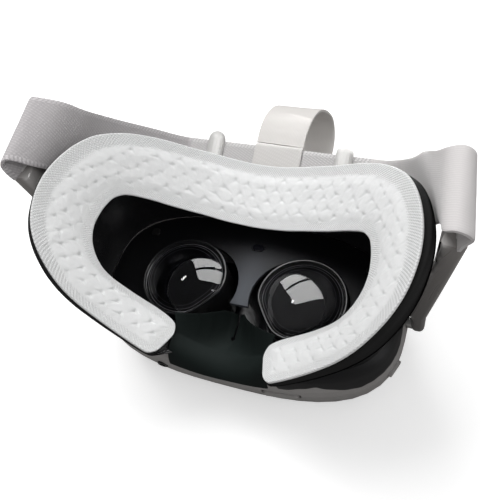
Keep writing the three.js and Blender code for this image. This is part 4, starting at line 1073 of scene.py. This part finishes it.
# ------------------------------------------------------------------ floor and light
me = bpy.data.meshes.new("floor")
me.from_pydata([(-40, -40, -0.0006), (40, -40, -0.0006), (40, 40, -0.0006), (-40, 40, -0.0006)], [], [(0, 1, 2, 3)])
floor = bpy.data.objects.new("floor", me)
scene.collection.objects.link(floor)
fm = Mat("floor_white").set(base=(0.93, 0.93, 0.93), rough=0.9, spec=0.0)
fm.p.inputs["Emission Color"].default_value = (1, 1, 1, 1)
lp = fm.n("ShaderNodeLightPath")
fm.link(fm.math("MULTIPLY", lp.outputs["Is Camera Ray"], 0.36), fm.p.inputs["Emission Strength"])
fm.color(fm.mix(lp.outputs["Is Camera Ray"], (0.26, 0.255, 0.25), (0.93, 0.93, 0.93)))
me.materials.append(fm.m)

world = bpy.data.worlds.new("studio")
scene.world = world
world.use_nodes = True
wt = world.node_tree
bg = next(n for n in wt.nodes if n.type == "BACKGROUND")
bg.inputs[0].default_value = (1.0, 1.0, 1.0, 1)
wl = wt.nodes.new("ShaderNodeLightPath")
wm = wt.nodes.new("ShaderNodeMapRange")      # the studio walls are darker in reflections than in the open
wm.inputs[3].default_value, wm.inputs[4].default_value = 0.45, 0.10
wt.links.new(wl.outputs["Is Glossy Ray"], wm.inputs[0])
wt.links.new(wm.outputs[0], bg.inputs[1])


def area(name, loc, target, size, power, size_y=None, glossy=True, diffuse=True, roll=0.0):
    d = bpy.data.lights.new(name, "AREA")
    d.shape = "RECTANGLE"
    d.size, d.size_y = size, size_y or size
    d.energy = power
    o = bpy.data.objects.new(name, d)
    scene.collection.objects.link(o)
    o.location = loc
    q = (Vector(target) - Vector(loc)).to_track_quat("-Z", "Y")
    o.rotation_euler = (q @ Matrix.Rotation(roll, 3, "Z").to_quaternion()).to_euler()
    o.visible_camera = False
    o.visible_glossy = glossy
    o.visible_diffuse = diffuse
    o.visible_transmission = glossy
    return o


C = Vector((0, 0.02, 0.05))
# large overhead softbox, seen only as light; its small bright core shows in the lenses
area("key", (-0.30, 0.42, 1.05), C, 0.75, 8.6, glossy=False)
area("fill", (0.80, -0.30, 0.95), C, 0.6, 2.4, glossy=False)
area("core", C + Vector((-0.33, 0.22, 0.92)) * 0.9, C, 0.085, 0.40, size_y=0.06, diffuse=False)
# window with a dark bar, close in front of the lenses
W0, WN = Vector((0.017, 0.075, 0.112)), Vector((0.0, 0.007, 0.057))
wd = (WN - W0).normalized()
side_v = wd.cross(Vector((0.75, 0.1, -0.65))).normalized()
for k, off in enumerate((-0.0345, 0.0345)):
    pw = area("window_%d" % k, W0 + side_v * off, WN + side_v * off, 0.145, 0.24, size_y=0.060, diffuse=False)
    q = Matrix((wd.cross(side_v), side_v, -wd)).transposed()
    pw.rotation_euler = q.to_euler()
# long strip that draws the highlights along the arm and the shell
area("strip", (0.62, -0.10, 0.42), (0.1, 0.0, 0.08), 0.05, 0.5, size_y=0.7, diffuse=False)
scene.view_settings.view_transform = "Standard"
